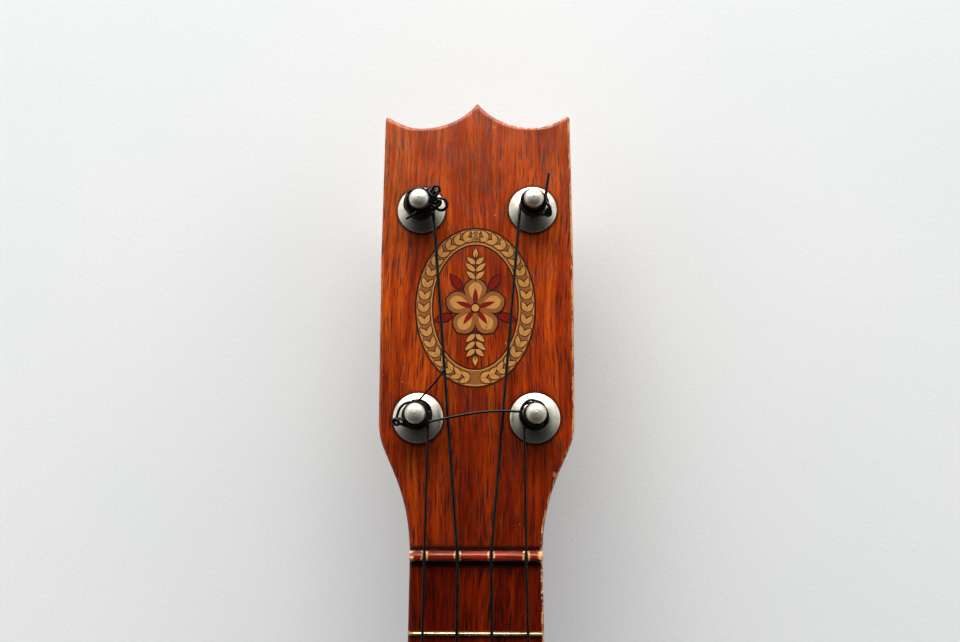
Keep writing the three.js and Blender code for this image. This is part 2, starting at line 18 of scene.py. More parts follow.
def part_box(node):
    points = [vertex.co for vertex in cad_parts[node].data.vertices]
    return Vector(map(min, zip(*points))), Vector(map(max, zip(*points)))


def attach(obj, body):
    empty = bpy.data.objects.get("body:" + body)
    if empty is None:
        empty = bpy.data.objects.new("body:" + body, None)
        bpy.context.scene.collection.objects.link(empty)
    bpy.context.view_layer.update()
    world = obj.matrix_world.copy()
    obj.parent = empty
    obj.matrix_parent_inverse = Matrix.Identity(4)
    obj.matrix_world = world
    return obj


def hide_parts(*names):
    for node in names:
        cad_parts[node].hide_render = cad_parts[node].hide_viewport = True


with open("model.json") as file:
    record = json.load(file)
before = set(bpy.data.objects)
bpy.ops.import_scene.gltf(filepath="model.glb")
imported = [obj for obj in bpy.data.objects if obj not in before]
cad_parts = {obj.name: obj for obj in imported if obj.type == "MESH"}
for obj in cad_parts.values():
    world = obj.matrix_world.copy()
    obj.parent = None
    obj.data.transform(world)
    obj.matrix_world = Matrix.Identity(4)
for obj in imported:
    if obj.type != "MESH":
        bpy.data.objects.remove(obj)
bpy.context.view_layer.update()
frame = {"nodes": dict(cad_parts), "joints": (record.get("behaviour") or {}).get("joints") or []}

# ------------------------------------------------------------------ driving dimensions, millimetres
MM = 0.001
GAP = 0.1
SCALE_LENGTH = 345
FRETS = 12
NUT_WIDTH = 36.5
NUT_THICKNESS = 2.7
NUT_HEIGHT = 1.7
NUT_DEPTH = 2.5
NUT_SLOT_DEPTH = 0.6

HEAD_ANGLE = math.radians(8)
HEAD_THICKNESS = 10.4
HEAD_LENGTH = 133.5
HEAD_HALF_WIDTH = 28.2

NECK_END_WIDTH = 42
HEEL_DEPTH = 56
BODY_LENGTH = 238
BODY_DEPTH_AT_NECK = 57
BODY_DEPTH_AT_TAIL = 62
PLATE = 2.2
RIB = 2
SOUNDHOLE_RADIUS = 25.5
SOUNDHOLE_FROM_JOINT = 80
ROSETTE_INNER = SOUNDHOLE_RADIUS + 3.5
ROSETTE_OUTER = SOUNDHOLE_RADIUS + 7
ROSETTE_DEPTH = 0.9

BRIDGE_LENGTH = 66
BRIDGE_WIDTH = 15
BRIDGE_HEIGHT = 4.4
SADDLE_TOP = 5.5
SADDLE_THICKNESS = 1.9
SADDLE_SETBACK = 1.5

# Each string: its peg on the headstock, its place across the nut and the saddle, the side of the post that
# it leaves from, its diameter, the outside of its turns on the post, and which way the peg's button points.
STRINGS = {
    "g": dict(peg=(-16.5, 36.4), nut=-14.0, saddle=-20.4, side=1, diameter=0.75, turns=3.6, button=20),
    "c": dict(peg=(-16.5, 98.5), nut=-5.0, saddle=-6.8, side=1, diameter=0.95, turns=4.1, button=-35),
    "e": dict(peg=(16.5, 98.5), nut=4.2, saddle=6.8, side=-1, diameter=0.85, turns=4.1, button=50),
    "a": dict(peg=(16.5, 36.4), nut=13.7, saddle=20.4, side=-1, diameter=0.75, turns=3.5, button=-10),
}
STRING_HEIGHT_AT_POST = 5

PEG_HOLE_RADIUS = 2.4
POST_RADIUS = 2.2
POST_CAP_RADIUS = 2.85
WASHER_BORE_RADIUS = 2.4
FRONT_WASHER_RADIUS = 7.15
REAR_WASHER_RADIUS = 6
REAR = -HEAD_THICKNESS
BUTTON_TOP = REAR - 2.6
POST_END = BUTTON_TOP - 4.9
SCREW_SEAT = BUTTON_TOP - 15
BUTTON_END = SCREW_SEAT - 1.4


def fret_distance(n):
    return SCALE_LENGTH * (1 - 2 ** (-n / 12))


JOINT_Y = -(fret_distance(FRETS) + 2.5)
TAIL_Y = JOINT_Y - BODY_LENGTH
SADDLE_Y = -(SCALE_LENGTH + SADDLE_SETBACK)
SOUNDHOLE_Y = JOINT_Y - SOUNDHOLE_FROM_JOINT
TAPER = math.atan((BODY_DEPTH_AT_TAIL - BODY_DEPTH_AT_NECK) / BODY_LENGTH)


def inside_back_z(y):
    """Height of the back plate's inner face in the instrument frame."""
    return -BODY_DEPTH_AT_TAIL + (y - TAIL_Y) * math.tan(TAPER) + PLATE


# ------------------------------------------------------------------ frames
PEG_JOINT = next(j for j in frame["joints"] if j["name"] == "peg_g_turn")
LEAN = math.atan2(PEG_JOINT["axis"][1], PEG_JOINT["axis"][2])


def leaning(angle, origin):
    """A frame in millimetres, leaning back by an angle, whose origin is a point of the model in metres."""
    return Matrix.Translation(origin) @ Matrix.Rotation(-angle, 4, "X") @ Matrix.Scale(MM, 4)


def at_point(angle, local, world):
    """The same, with a local point, in millimetres, at a point of the model."""
    return leaning(angle, Vector(world) - leaning(angle, (0, 0, 0)) @ Vector(local))


HEAD = at_point(LEAN, (*STRINGS["g"]["peg"], 0), PEG_JOINT["pos_m"])
INSTRUMENT = at_point(LEAN - HEAD_ANGLE, (0, NUT_THICKNESS, 0), HEAD.translation)
BACK = INSTRUMENT @ Matrix.Translation((0, TAIL_Y, -BODY_DEPTH_AT_TAIL)) @ Matrix.Rotation(TAPER, 4, "X")


def to_head(y, z):
    """An instrument-frame y and z in the head frame."""
    dy = y - NUT_THICKNESS
    c, s = math.cos(HEAD_ANGLE), math.sin(HEAD_ANGLE)
    return dy * c - z * s, dy * s + z * c


HEAD_IN_INSTRUMENT = Matrix.Translation((0, NUT_THICKNESS, 0)) @ Matrix.Rotation(-HEAD_ANGLE, 4, "X")


# ------------------------------------------------------------------ camera
def make_camera():
    """Above the nut, a little to the treble side, looking down and towards the crown."""
    eye = HEAD @ Vector((6.25, 0.3, 266.8))
    target = HEAD @ Vector((0.95, 64.6, 0))
    roll = math.radians(0.15)
    back = (eye - target).normalized()
    right = (HEAD.to_3x3() @ Vector((0, 1, 0))).cross(back).normalized()
    right.rotate(Matrix.Rotation(roll, 3, back))
    up = back.cross(right)
    camera = bpy.data.objects.new("camera", bpy.data.cameras.new("camera"))
    turn = Matrix((right, up, back)).transposed().to_4x4()
    camera.matrix_world = Matrix.Translation(eye) @ turn
    camera.data.lens = 35.6
    camera.data.sensor_width = 36
    camera.data.clip_start = 0.01
    bpy.context.scene.collection.objects.link(camera)
    bpy.context.scene.camera = camera


make_camera()


# ------------------------------------------------------------------ material nodes
class Shader:
    """A material's node tree, with short calls for the nodes that the finishes below use."""

    def __init__(self, name, **principled):
        self.material = bpy.data.materials.new(name)
        self.material.use_nodes = True
        self.tree = self.material.node_tree
        self.bsdf = self.tree.nodes["Principled BSDF"]
        for socket, value in principled.items():
            self.bsdf.inputs[socket.replace("_", " ")].default_value = value

    def node(self, kind, inputs=(), **settings):
        made = self.tree.nodes.new("ShaderNode" + kind)
        for name, value in settings.items():
            setattr(made, name, value)
        for key, value in dict(inputs).items():
            self.feed(made.inputs[key], value)
        return made

    def feed(self, socket, value):
        if isinstance(value, bpy.types.NodeSocket):
            self.tree.links.new(value, socket)
        elif isinstance(value, bpy.types.Node):
            self.tree.links.new(value.outputs[0], socket)
        else:
            socket.default_value = value

    def attribute(self, name, output="Vector"):
        return self.node("Attribute", attribute_name=name).outputs[output]

    def place(self):
        return self.node("TexCoord").outputs["Object"]

    def place_in_mm(self):
        return self.stretch(self.place(), (1000, 1000, 1000))

    def math(self, operation, a, b=0.0):
        return self.node("Math", {0: a, 1: b}, operation=operation).outputs[0]

    def times(self, a, b):
        return self.math("MULTIPLY", a, b)

    def length(self, vector):
        return self.node("VectorMath", {0: vector}, operation="LENGTH").outputs["Value"]

    def grey(self, value):
        return self.node("CombineColor", {0: value, 1: value, 2: value})

    def stretch(self, vector, scale):
        return self.node("VectorMath", {0: vector, 1: scale}, operation="MULTIPLY").outputs[0]

    def shift(self, vector, by):
        return self.node("VectorMath", {0: vector, 1: by}, operation="ADD").outputs[0]

    def noise(self, vector, scale=1.0, detail=3.0, roughness=0.5):
        sockets = {"Vector": vector, "Scale": scale, "Detail": detail, "Roughness": roughness}
        return self.node("TexNoise", sockets).outputs[0]

    def cells(self, vector):
        return self.node("TexVoronoi", {"Vector": vector, "Scale": 1.0}).outputs["Distance"]

    def ramp(self, value, *stops, interpolation="LINEAR"):
        made = self.node("ValToRGB", {0: value})
        made.color_ramp.interpolation = interpolation
        elements = made.color_ramp.elements
        while len(elements) < len(stops):
            elements.new(0.5)
        for element, (position, colour) in zip(elements, stops):
            element.position = position
            element.color = (*colour, 1)
        return made.outputs[0]

    def between(self, value, low, high, start=0.0, end=1.0):
        sockets = {0: value, 1: low, 2: high, 3: start, 4: end}
        return self.node("MapRange", sockets, interpolation_type="SMOOTHSTEP").outputs[0]

    def mix(self, share, a, b, blend="MIX"):
        made = self.node("Mix", data_type="RGBA", blend_type=blend)
        self.feed(made.inputs[0], share)
        for socket, value in ((6, a), (7, b)):
            if isinstance(value, tuple) and len(value) == 3:
                value = (*value, 1)
            self.feed(made.inputs[socket], value)
        return made.outputs[2]

    def bump(self, height, distance, strength):
        return self.node("Bump", {"Height": height, "Distance": distance, "Strength": strength}).outputs[0]

    def finish(self, **sockets):
        for name, value in sockets.items():
            self.feed(self.bsdf.inputs[name.replace("_", " ")], value)
        return self.material


def koa(name, light, middle, dark, gloss=0.26, aged_with_painted_light=False, open_pores=0.94):
    """Varnished koa: bands of colour along the grain, fine fibres, open pores and a clouded varnish.
    The grain attribute runs across, along and through the wood, in millimetres."""
    s = Shader(name, Coat_Weight=0.1, Coat_Roughness=0.14, IOR=1.38)
    grain = s.attribute("grain")
    wander = s.noise(s.stretch(grain, (0.045, 0.012, 0.045)), detail=2)
    drift = s.node("CombineXYZ", {0: s.times(wander, 9.0)})
    wood = s.shift(grain, drift.outputs[0])
    bands = s.noise(s.stretch(wood, (0.2, 0.008, 0.2)), detail=4, roughness=0.6)
    streaks = s.noise(s.stretch(wood, (1.1, 0.035, 1.1)), detail=4, roughness=0.65)
    fibres = s.noise(s.stretch(wood, (4.5, 0.16, 4.5)), detail=3, roughness=0.7)
    clouds = s.noise(s.stretch(grain, (0.07, 0.05, 0.07)), detail=2)
    tone = s.math("ADD", s.times(bands, 0.42), s.times(streaks, 0.34))
    tone = s.math("ADD", tone, s.times(fibres, 0.24))
    colour = s.ramp(tone, (0.38, dark), (0.5, middle), (0.62, light))
    shade = s.between(clouds, 0.35, 0.68, 0.82, 1.15)
    colour = s.mix(1.0, colour, s.grey(shade), "MULTIPLY")
    # Open pores: short dark dashes along the grain, in two sizes, denser in some bands than in others.
    pores = None
    crowd = s.between(s.noise(s.stretch(wood, (0.3, 0.02, 0.3)), detail=3), 0.3, 0.52, 0.45, 1.0)
    for scale, width, share in (((1.45, 0.09, 1.45), 0.35, 0.95), ((2.3, 0.17, 2.3), 0.35, 0.8)):
        place = s.stretch(s.shift(wood, (3.3 * scale[0], 7.0, 1.7)), scale)
        core = s.between(s.cells(place), width * 0.5, width, share, 0.0)
        pores = core if pores is None else s.math("MAXIMUM", pores, core)
    pores = s.times(pores, crowd)
    deep = tuple(0.16 * c for c in dark)
    colour = s.mix(s.times(pores, open_pores), colour, deep)
    if aged_with_painted_light:
        colour = add_age_and_painted_light(s, colour, grain)
    specks = s.between(s.cells(s.stretch(grain, (0.16, 0.16, 0.16))), 0.03, 0.022)
    colour = s.mix(s.times(specks, 0.7), colour, (0.62, 0.5, 0.4))
    haze = s.noise(grain, 0.16, 3)
    roughness = s.between(haze, 0.3, 0.7, gloss - 0.04, gloss + 0.06)
    roughness = s.math("ADD", roughness, s.times(pores, 0.2))
    if aged_with_painted_light:
        roughness = s.math("ADD", roughness, s.between(s.attribute("rim", "Fac"), 1.0, 0.2, 0.0, 0.3))
    skin = s.math("ADD", s.times(s.noise(grain, 0.9, 2), 0.35), s.times(fibres, 0.25))
    height = s.math("SUBTRACT", skin, pores)
    return s.finish(Base_Color=colour, Roughness=roughness, Normal=s.bump(height, 0.00004, 0.7))


def add_age_and_painted_light(s, colour, grain):
    """What a century did to the neck, with some painted light: the colour is darker and redder towards the
    body, partly the varnish's own tone and partly painted shade, and browner at the crown, partly a painted
    sheen;
    the varnish is rubbed through to pale wood along the edges and chipped beside the nut and the first fret;
    a dark band along the nut and rings round the washers are partly dirt and partly painted shadow. The rim
    attribute is the distance from the nearest edge of the face."""
    split = s.node("SeparateXYZ", {0: grain})
    across, along, depth = split.outputs[0], split.outputs[1], split.outputs[2]
    rim = s.attribute("rim", "Fac")
    # Darker and redder towards the body: partly the wood's own tone, partly painted shade.
    colour = s.mix(s.attribute("dusk", "Fac"), colour, (0.3, 0.1, 0.1), "MULTIPLY")
    # Browner towards the crown: partly the wood's tone, partly a painted sheen.
    colour = s.mix(s.between(along, 85.0, 135.0, 0.0, 0.12), colour, (0.4, 0.13, 0.05))
    bass = s.between(across, -8.0, -27.0, 0.0, 0.55)
    colour = s.mix(s.times(bass, s.between(along, 5.0, 60.0)), colour, (1.2, 1.5, 1.5), "MULTIPLY")
    # A dark band along the nut and dark rings round the four washers: partly dirt, partly painted contact
    # shadow.
    dirt = s.times(s.between(along, -2.3, -0.7), s.between(along, 1.9, 0.7))
    centre = s.math("SUBTRACT", s.math("ABSOLUTE", across), STRINGS["a"]["peg"][0])
    for name in ("a", "e"):
        away = s.math("SUBTRACT", along, STRINGS[name]["peg"][1])
        away = s.length(s.node("CombineXYZ", {0: centre, 1: away}))
        near = s.between(away, FRONT_WASHER_RADIUS + 1.3, FRONT_WASHER_RADIUS - 0.1, 0.0, 0.8)
        dirt = s.math("MAXIMUM", dirt, near)
    dirt = s.times(dirt, s.between(depth, -4.0, -1.0, 0.0, 0.92))
    colour = s.mix(dirt, colour, (0.012, 0.003, 0.002))
    treble = s.between(across, 4.0, 12.0, 0.35, 1.0)
    ragged = s.noise(s.stretch(grain, (0.8, 0.22, 0.8)), detail=4, roughness=0.7)
    reach = s.times(s.between(ragged, 0.32, 0.62, 0.1, 0.75), treble)
    rubbed = s.between(s.math("SUBTRACT", rim, reach), 0.12, -0.12)
    colour = s.mix(s.times(rubbed, 0.85), colour, (0.62, 0.32, 0.12))
    chips = s.noise(s.stretch(grain, (1.1, 0.9, 1.1)), detail=3, roughness=0.7)
    chips = s.times(s.between(chips, 0.56, 0.6), s.between(along, 7.0, 1.0))
    chips = s.times(chips, s.times(s.between(rim, 0.8, 0.45), s.between(across, 2.0, 6.0)))
    colour = s.mix(chips, colour, (0.86, 0.66, 0.46))
    dents = s.between(s.cells(s.shift(s.stretch(grain, (0.07, 0.045, 0.07)), (0.4, 0.2, 0))), 0.05, 0.02)
    return s.mix(s.times(dents, 0.45), colour, (0.6, 0.34, 0.2))


def nickel(name, tarnish=0.55, satin=0.3):
    """Old nickel plate: satin, clouded, with olive tarnish and fine scratches."""
    s = Shader(name, Metallic=1.0, IOR=1.5)
    place = s.place_in_mm()
    cloud = s.noise(place, 0.32, 5, 0.62)
    spots = s.between(s.noise(s.shift(place, (9, 4, 2)), 1.6, 4, 0.7), 0.56, 0.72)
    stain = s.between(cloud, 0.42, 0.72)
    colour = s.mix(s.times(stain, tarnish), (0.53, 0.51, 0.44), (0.3, 0.26, 0.155))
    colour = s.mix(s.times(spots, tarnish * 0.6), colour, (0.2, 0.165, 0.1))
    scratches = s.noise(s.stretch(place, (9, 0.6, 3)), 1.0, 2)
    roughness = s.math("ADD", s.between(cloud, 0.3, 0.75, satin, satin + 0.16), s.times(spots, 0.12))
    return s.finish(Base_Color=colour, Roughness=roughness, Normal=s.bump(scratches, 0.00001, 0.5))


def fret_metal():
    """Worn brass-coloured wire, darker and browner in patches."""
    s = Shader("fret_metal", Metallic=1.0)
    place = s.place_in_mm()
    dirt = s.between(s.noise(place, 0.5, 4, 0.65), 0.4, 0.68)
    colour = s.mix(dirt, (0.62, 0.52, 0.3), (0.24, 0.2, 0.1))
    return s.finish(Base_Color=colour, Roughness=s.between(dirt, 0, 1, 0.24, 0.42))


def string_black():
    """Black nylon, glossy, with a faint greyness where fingers have rubbed it."""
    s = Shader("string_black", IOR=1.42)
    place = s.place_in_mm()
    rub = s.between(s.noise(place, 0.4, 3), 0.4, 0.7)
    colour = s.mix(rub, (0.003, 0.003, 0.003), (0.01, 0.009, 0.009))
    return s.finish(Base_Color=colour, Roughness=s.between(rub, 0, 1, 0.11, 0.24))


def bare_wood():
    """Unvarnished spruce-coloured wood for what is inside the body."""
    s = Shader("bare_wood")
    place = s.place_in_mm()
    rings = s.noise(s.stretch(place, (0.9, 0.03, 0.9)), detail=4, roughness=0.6)
    fuzz = s.noise(s.stretch(place, (6, 0.5, 6)), detail=3)
    tone = s.math("ADD", s.times(rings, 0.7), s.times(fuzz, 0.3))
    colour = s.ramp(tone, (0.35, (0.3, 0.17, 0.08)), (0.55, (0.5, 0.32, 0.17)), (0.7, (0.6, 0.42, 0.25)))
    roughness = s.between(tone, 0.3, 0.7, 0.62, 0.82)
    return s.finish(Base_Color=colour, Roughness=roughness, Normal=s.bump(fuzz, 0.00008, 0.5))


def rosette_inlay():
    """Three rings of dark and pale wood strips, worked out from the distance to the soundhole's centre."""
    s = Shader("rosette_inlay", Coat_Weight=0.35, Coat_Roughness=0.16)
    grain = s.attribute("grain")
    radius = s.length(s.stretch(grain, (1, 1, 0)))
    share = s.node("MapRange", {0: radius, 1: ROSETTE_INNER, 2: ROSETTE_OUTER}).outputs[0]
    black, pale = (0.018, 0.014, 0.012), (0.62, 0.47, 0.27)
    stops = [(0, black), (0.17, pale), (0.31, black), (0.69, pale), (0.83, black)]
    rings = s.ramp(share, *stops, interpolation="CONSTANT")
    fibre = s.between(s.noise(s.stretch(grain, (3, 3, 3)), detail=3), 0.3, 0.7, 0.75, 1.1)
    colour = s.mix(1.0, rings, s.grey(fibre), "MULTIPLY")
    return s.finish(Base_Color=colour, Roughness=s.between(fibre, 0.7, 1.1, 0.24, 0.32))


def celluloid():
    """Yellowed cream celluloid with soft swirls."""
    s = Shader("celluloid", Subsurface_Weight=0.15, Subsurface_Scale=0.002, Coat_Weight=0.3)
    s.bsdf.inputs["Subsurface Radius"].default_value = (1, 0.7, 0.4)
    place = s.place_in_mm()
    wander = s.node("TexNoise", {"Vector": place, "Scale": 0.12}).outputs["Color"]
    bent = s.shift(place, s.stretch(wander, (9, 9, 9)))
    swirl = s.noise(s.stretch(bent, (0.25, 0.25, 0.6)), detail=3)
    colour = s.ramp(swirl, (0.35, (0.52, 0.4, 0.2)), (0.5, (0.72, 0.62, 0.4)), (0.66, (0.82, 0.75, 0.56)))
    grime = s.between(s.noise(place, 0.9, 4, 0.7), 0.55, 0.75)
    colour = s.mix(s.times(grime, 0.4), colour, (0.3, 0.2, 0.1))
    return s.finish(Base_Color=colour, Roughness=s.between(grime, 0, 1, 0.22, 0.42))


def bone():
    """Polished bone with fine brown flecks."""
    s = Shader("bone", Coat_Weight=0.2)
    place = s.place_in_mm()
    flecks = s.between(s.noise(s.stretch(place, (0.5, 3.2, 3.2)), detail=4), 0.56, 0.7)
    clouds = s.noise(place, 0.12, 2)
    colour = s.mix(s.between(clouds, 0.3, 0.7), (0.78, 0.7, 0.52), (0.7, 0.6, 0.42))
    colour = s.mix(s.times(flecks, 0.5), colour, (0.42, 0.28, 0.14))
    return s.finish(Base_Color=colour, Roughness=s.between(clouds, 0.3, 0.7, 0.24, 0.36))


def printed(name, colour, worn):
    """A printed and varnished colour of the emblem, mottled and thin in places."""
    s = Shader(name, Coat_Weight=0.1, Coat_Roughness=0.16, IOR=1.38)
    grain = s.attribute("grain")
    mottle = s.between(s.noise(grain, 1.3, 5, 0.7), 0.42, 0.68)
    cracks = s.between(s.noise(s.stretch(grain, (2.4, 0.5, 2.4)), detail=5, roughness=0.75), 0.56, 0.66)
    shown = s.mix(s.times(mottle, 0.5), colour, worn)
    shown = s.mix(s.times(cracks, 0.55), shown, (0.11, 0.03, 0.012))
    return s.finish(Base_Color=shown, Roughness=s.between(mottle, 0, 1, 0.24, 0.34))


def floor_cloth():
    """Pale plain cloth with a very faint weave."""
    s = Shader("floor_cloth")
    place = s.place()
    tint = s.between(s.noise(place, 5.0, 3), 0.3, 0.7)
    colour = s.mix(tint, (0.80, 0.815, 0.82), (0.84, 0.85, 0.845))
    weave = s.noise(place, 900.0, 2)
    roughness = s.between(weave, 0, 1, 0.85, 0.95)
    return s.finish(Base_Color=colour, Roughness=roughness, Normal=s.bump(weave, 0.0002, 0.2))


KOA_NECK = koa("koa_neck", (0.53, 0.112, 0.008), (0.32, 0.041, 0.003), (0.14, 0.01, 0.001), aged_with_painted_light=True)
KOA_BODY = koa("koa_body", (0.52, 0.13, 0.014), (0.31, 0.055, 0.006), (0.14, 0.018, 0.003), open_pores=0.62)
KOA_NUT = koa("koa_nut", (0.42, 0.07, 0.012), (0.3, 0.034, 0.006), (0.2, 0.02, 0.003), gloss=0.2, aged_with_painted_light=True)
NICKEL = nickel("nickel")
NICKEL_CAP = nickel("nickel_cap", tarnish=0.25, satin=0.42)
FRET_METAL = fret_metal()
STRING_BLACK = string_black()
BARE_WOOD = bare_wood()
ROSETTE_INLAY = rosette_inlay()
CELLULOID = celluloid()
BONE = bone()
PRINT_TAN = printed("print_tan", (0.27, 0.108, 0.034), (0.19, 0.066, 0.02))
PRINT_GOLD = printed("print_gold", (0.5, 0.25, 0.075), (0.33, 0.14, 0.042))
PRINT_DARK = printed("print_dark", (0.035, 0.012, 0.008), (0.06, 0.018, 0.01))
PRINT_RED = printed("print_red", (0.2, 0.012, 0.006), (0.11, 0.01, 0.006))


# ------------------------------------------------------------------ mesh helpers
def placed(points, place):
    """Points of a local frame in the frame that a matrix leads to."""
    matrix = np.array(place)
    return np.asarray(points, float) @ matrix[:3, :3].T + matrix[:3, 3]


def piece(name, vertices, faces, place, material, body, nodes, slot, sharp=40.0, grain=None, extra=None):
    """Makes a mesh from points in a local frame, gives it its finish and lets it ride on a body."""
    local = np.asarray(vertices, float)
    mesh = bpy.data.meshes.new(name)
    mesh.from_pydata(placed(local, place).tolist(), [], [tuple(int(i) for i in face) for face in faces])
    mesh.shade_smooth()
    for key, values in {"grain": local if grain is None else grain, **(extra or {})}.items():
        values = np.asarray(values, np.float32)
        kind = "FLOAT_VECTOR" if values.ndim == 2 else "FLOAT"
        made = mesh.attributes.new(key, kind, "POINT")
        made.data.foreach_set("vector" if values.ndim == 2 else "value", values.ravel())
    mesh.materials.append(material)
    if sharp:
        mesh.set_sharp_from_angle(angle=math.radians(sharp))
    thing = bpy.data.objects.new(name, mesh)
    bpy.context.scene.collection.objects.link(thing)
    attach(thing, body)
    if nodes:
        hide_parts(*nodes)
    return thing


def turned(profile, sides=64):
    """A solid of revolution about Z. The profile is (radius, z) pairs and starts and ends on the axis."""
    points, rings = [], []
    for r, z in profile:
        if r == 0:
            rings.append([len(points)] * sides)
            points.append((0, 0, z))
            continue
        rings.append(list(range(len(points), len(points) + sides)))
        turn = 2 * math.pi / sides
        points += [(r * math.cos(i * turn), r * math.sin(i * turn), z) for i in range(sides)]
    return np.array(points), ring_faces(rings, sides)


def turned_ring(profile, sides=64):
    """The same for a ring, whose profile closes on itself."""
    turn = 2 * math.pi / sides
    points = [(r * math.cos(i * turn), r * math.sin(i * turn), z) for r, z in profile for i in range(sides)]
    rings = [list(range(k * sides, (k + 1) * sides)) for k in range(len(profile))]
    return np.array(points), ring_faces([*rings, rings[0]], sides)


def ring_faces(rings, sides):
    faces = []
    for low, high in zip(rings, rings[1:]):
        for i in range(sides):
            j = (i + 1) % sides
            face = list(dict.fromkeys((low[i], low[j], high[j], high[i])))
            if len(face) > 2:
                faces.append(face)
    return faces


def tube(points, radius, sides=12, closed=False):
    """A round tube along a path, with rounded ends. radius is a number or one number for each point."""
    path = np.asarray(points, float)
    radii = np.broadcast_to(np.asarray(radius, float), len(path)).copy()
    if not closed:
        first, last = path[0] - path[1], path[-1] - path[-2]
        first, last = first / np.linalg.norm(first), last / np.linalg.norm(last)
        head = [path[0] + first * radii[0] * k for k in (0.95, 0.7)]
        tail = [path[-1] + last * radii[-1] * k for k in (0.7, 0.95)]
        path = np.vstack([head, path, tail])
        radii = np.concatenate([radii[0] * np.array([0.3, 0.72]), radii, radii[-1] * np.array([0.72, 0.3])])
    ahead = np.roll(path, -1, 0) if closed else np.vstack([path[1:], path[-1:]])
    behind = np.roll(path, 1, 0) if closed else np.vstack([path[:1], path[:-1]])
    along = ahead - behind
    along /= np.linalg.norm(along, axis=1)[:, None]
    side = np.cross(along[0], (0.3, 0.2, 0.93))
    vertices, rings = [], []
    for centre, direction, r in zip(path, along, radii):
        side = side - direction * side.dot(direction)
        side /= np.linalg.norm(side)
        other = np.cross(direction, side)
        rings.append(list(range(len(vertices), len(vertices) + sides)))
        for i in range(sides):
            turn = 2 * math.pi * i / sides
            vertices.append(centre + r * (math.cos(turn) * side + math.sin(turn) * other))
    faces = ring_faces([*rings, rings[0]] if closed else rings, sides)
    if not closed:
        faces += [rings[0][::-1], rings[-1]]
    return np.array(vertices), faces


def through(points, step=0.35):
    """A smooth path through a few points, by Catmull-Rom."""
    p = np.asarray(points, float)
    p = np.vstack([2 * p[0] - p[1], p, 2 * p[-1] - p[-2]])
    path = []
    for a, b, c, d in zip(p, p[1:], p[2:], p[3:]):
        steps = max(2, int(np.linalg.norm(c - b) / step))
        for k in range(steps):
            t = k / steps
            square, cube = 2 * a - 5 * b + 4 * c - d, 3 * b - a - 3 * c + d
            path.append(0.5 * (2 * b + (c - a) * t + square * t * t + cube * t**3))
    path.append(p[-2])
    return np.array(path)


def joined(*parts):
    """Several (vertices, faces) pairs as one."""
    vertices, faces, count = [], [], 0
    for points, polygons in parts:
        vertices.append(np.asarray(points, float))
        faces += [[i + count for i in polygon] for polygon in polygons]
        count += len(points)
    return np.vstack(vertices), faces


def flipped(part):
    """The same part with its faces turned over."""
    return part[0], [face[::-1] for face in part[1]]


def moved(part, by, turn=0.0):
    """A (vertices, faces) pair turned about Z by degrees and then moved."""
    points, faces = part
    c, s = math.cos(math.radians(turn)), math.sin(math.radians(turn))
    spun = np.asarray(points, float) @ np.array([[c, s, 0], [-s, c, 0], [0, 0, 1]])
    return spun + np.asarray(by, float), faces


def smooth_max(a, b, blend):
    """The larger of two fields, rounded over where they meet."""
    h = np.maximum(blend - np.abs(a - b), 0) / blend
    return np.maximum(a, b) + h * h * blend / 4


def smooth_min(a, b, blend):
    return -smooth_max(-a, -b, blend)


def box_field(x, y, z, low, high):
    """Signed distance, near its surface, to a box."""
    gaps = [np.maximum(lo - v, v - hi) for v, lo, hi in zip((x, y, z), low, high)]
    return np.maximum(np.maximum(gaps[0], gaps[1]), gaps[2])


def carved(field, low, high, step):
    """Vertices and quads of the surface where field(x, y, z) is zero, by surface nets on a regular grid. Each
    vertex then moves onto the surface itself."""
    low = np.asarray(low, float)
    axes = [np.arange(a, b + step, step) for a, b in zip(low, high)]
    slabs = [field(*np.meshgrid([x], axes[1], axes[2], indexing="ij")) for x in axes[0]]
    values = np.concatenate(slabs)
    inside = values < 0
    size = np.array(values.shape) - 1
    corners = [np.array(c) for c in np.ndindex(2, 2, 2)]
    count = sum(
        inside[i : i + size[0], j : j + size[1], k : k + size[2]].astype(np.int8) for i, j, k in corners
    )
    active = (count > 0) & (count < 8)
    cells = np.argwhere(active)
    index = np.full(active.shape, -1, np.int64)
    index[active] = np.arange(len(cells))
    total, crossings = np.zeros((len(cells), 3)), np.zeros(len(cells))
    for corner in corners:
        for axis in range(3):
            if corner[axis]:
                continue
            step_to = corner + np.eye(3, dtype=int)[axis]
            a, b = values[tuple((cells + corner).T)], values[tuple((cells + step_to).T)]
            cross = (a < 0) != (b < 0)
            point = (cells[cross] + corner).astype(float)
            point[:, axis] += a[cross] / (a[cross] - b[cross])
            total[cross] += point
            crossings[cross] += 1
    vertices = low + step * total / crossings[:, None]
    faces = []
    for axis in range(3):
        u, v = (axis + 1) % 3, (axis + 2) % 3
        near = [slice(1, -1)] * 3
        near[axis] = slice(0, -1)
        far = list(near)
        far[axis] = slice(1, None)
        start = np.argwhere(inside[tuple(near)] != inside[tuple(far)]) + 1
        start[:, axis] -= 1
        ring = []
        for du, dv in ((0, 0), (-1, 0), (-1, -1), (0, -1)):
            cell = start.copy()
            cell[:, u] += du
            cell[:, v] += dv
            ring.append(index[tuple(cell.T)])
        quads = np.stack(ring, 1)
        leaving = inside[tuple(start.T)]
        quads[~leaving] = quads[~leaving][:, ::-1]
        faces.append(quads)
    for _ in range(3):
        value = field(*vertices.T)
        nudge = 0.02
        slope = np.stack(
            [(field(*(vertices + d).T) - field(*(vertices - d).T)) / (2 * nudge)
             for d in nudge * np.eye(3)], 1
        )
        move = slope * (value / np.maximum((slope**2).sum(1), 0.05))[:, None]
        vertices -= np.clip(move, -step / 2, step / 2)
    return vertices, np.vstack(faces)


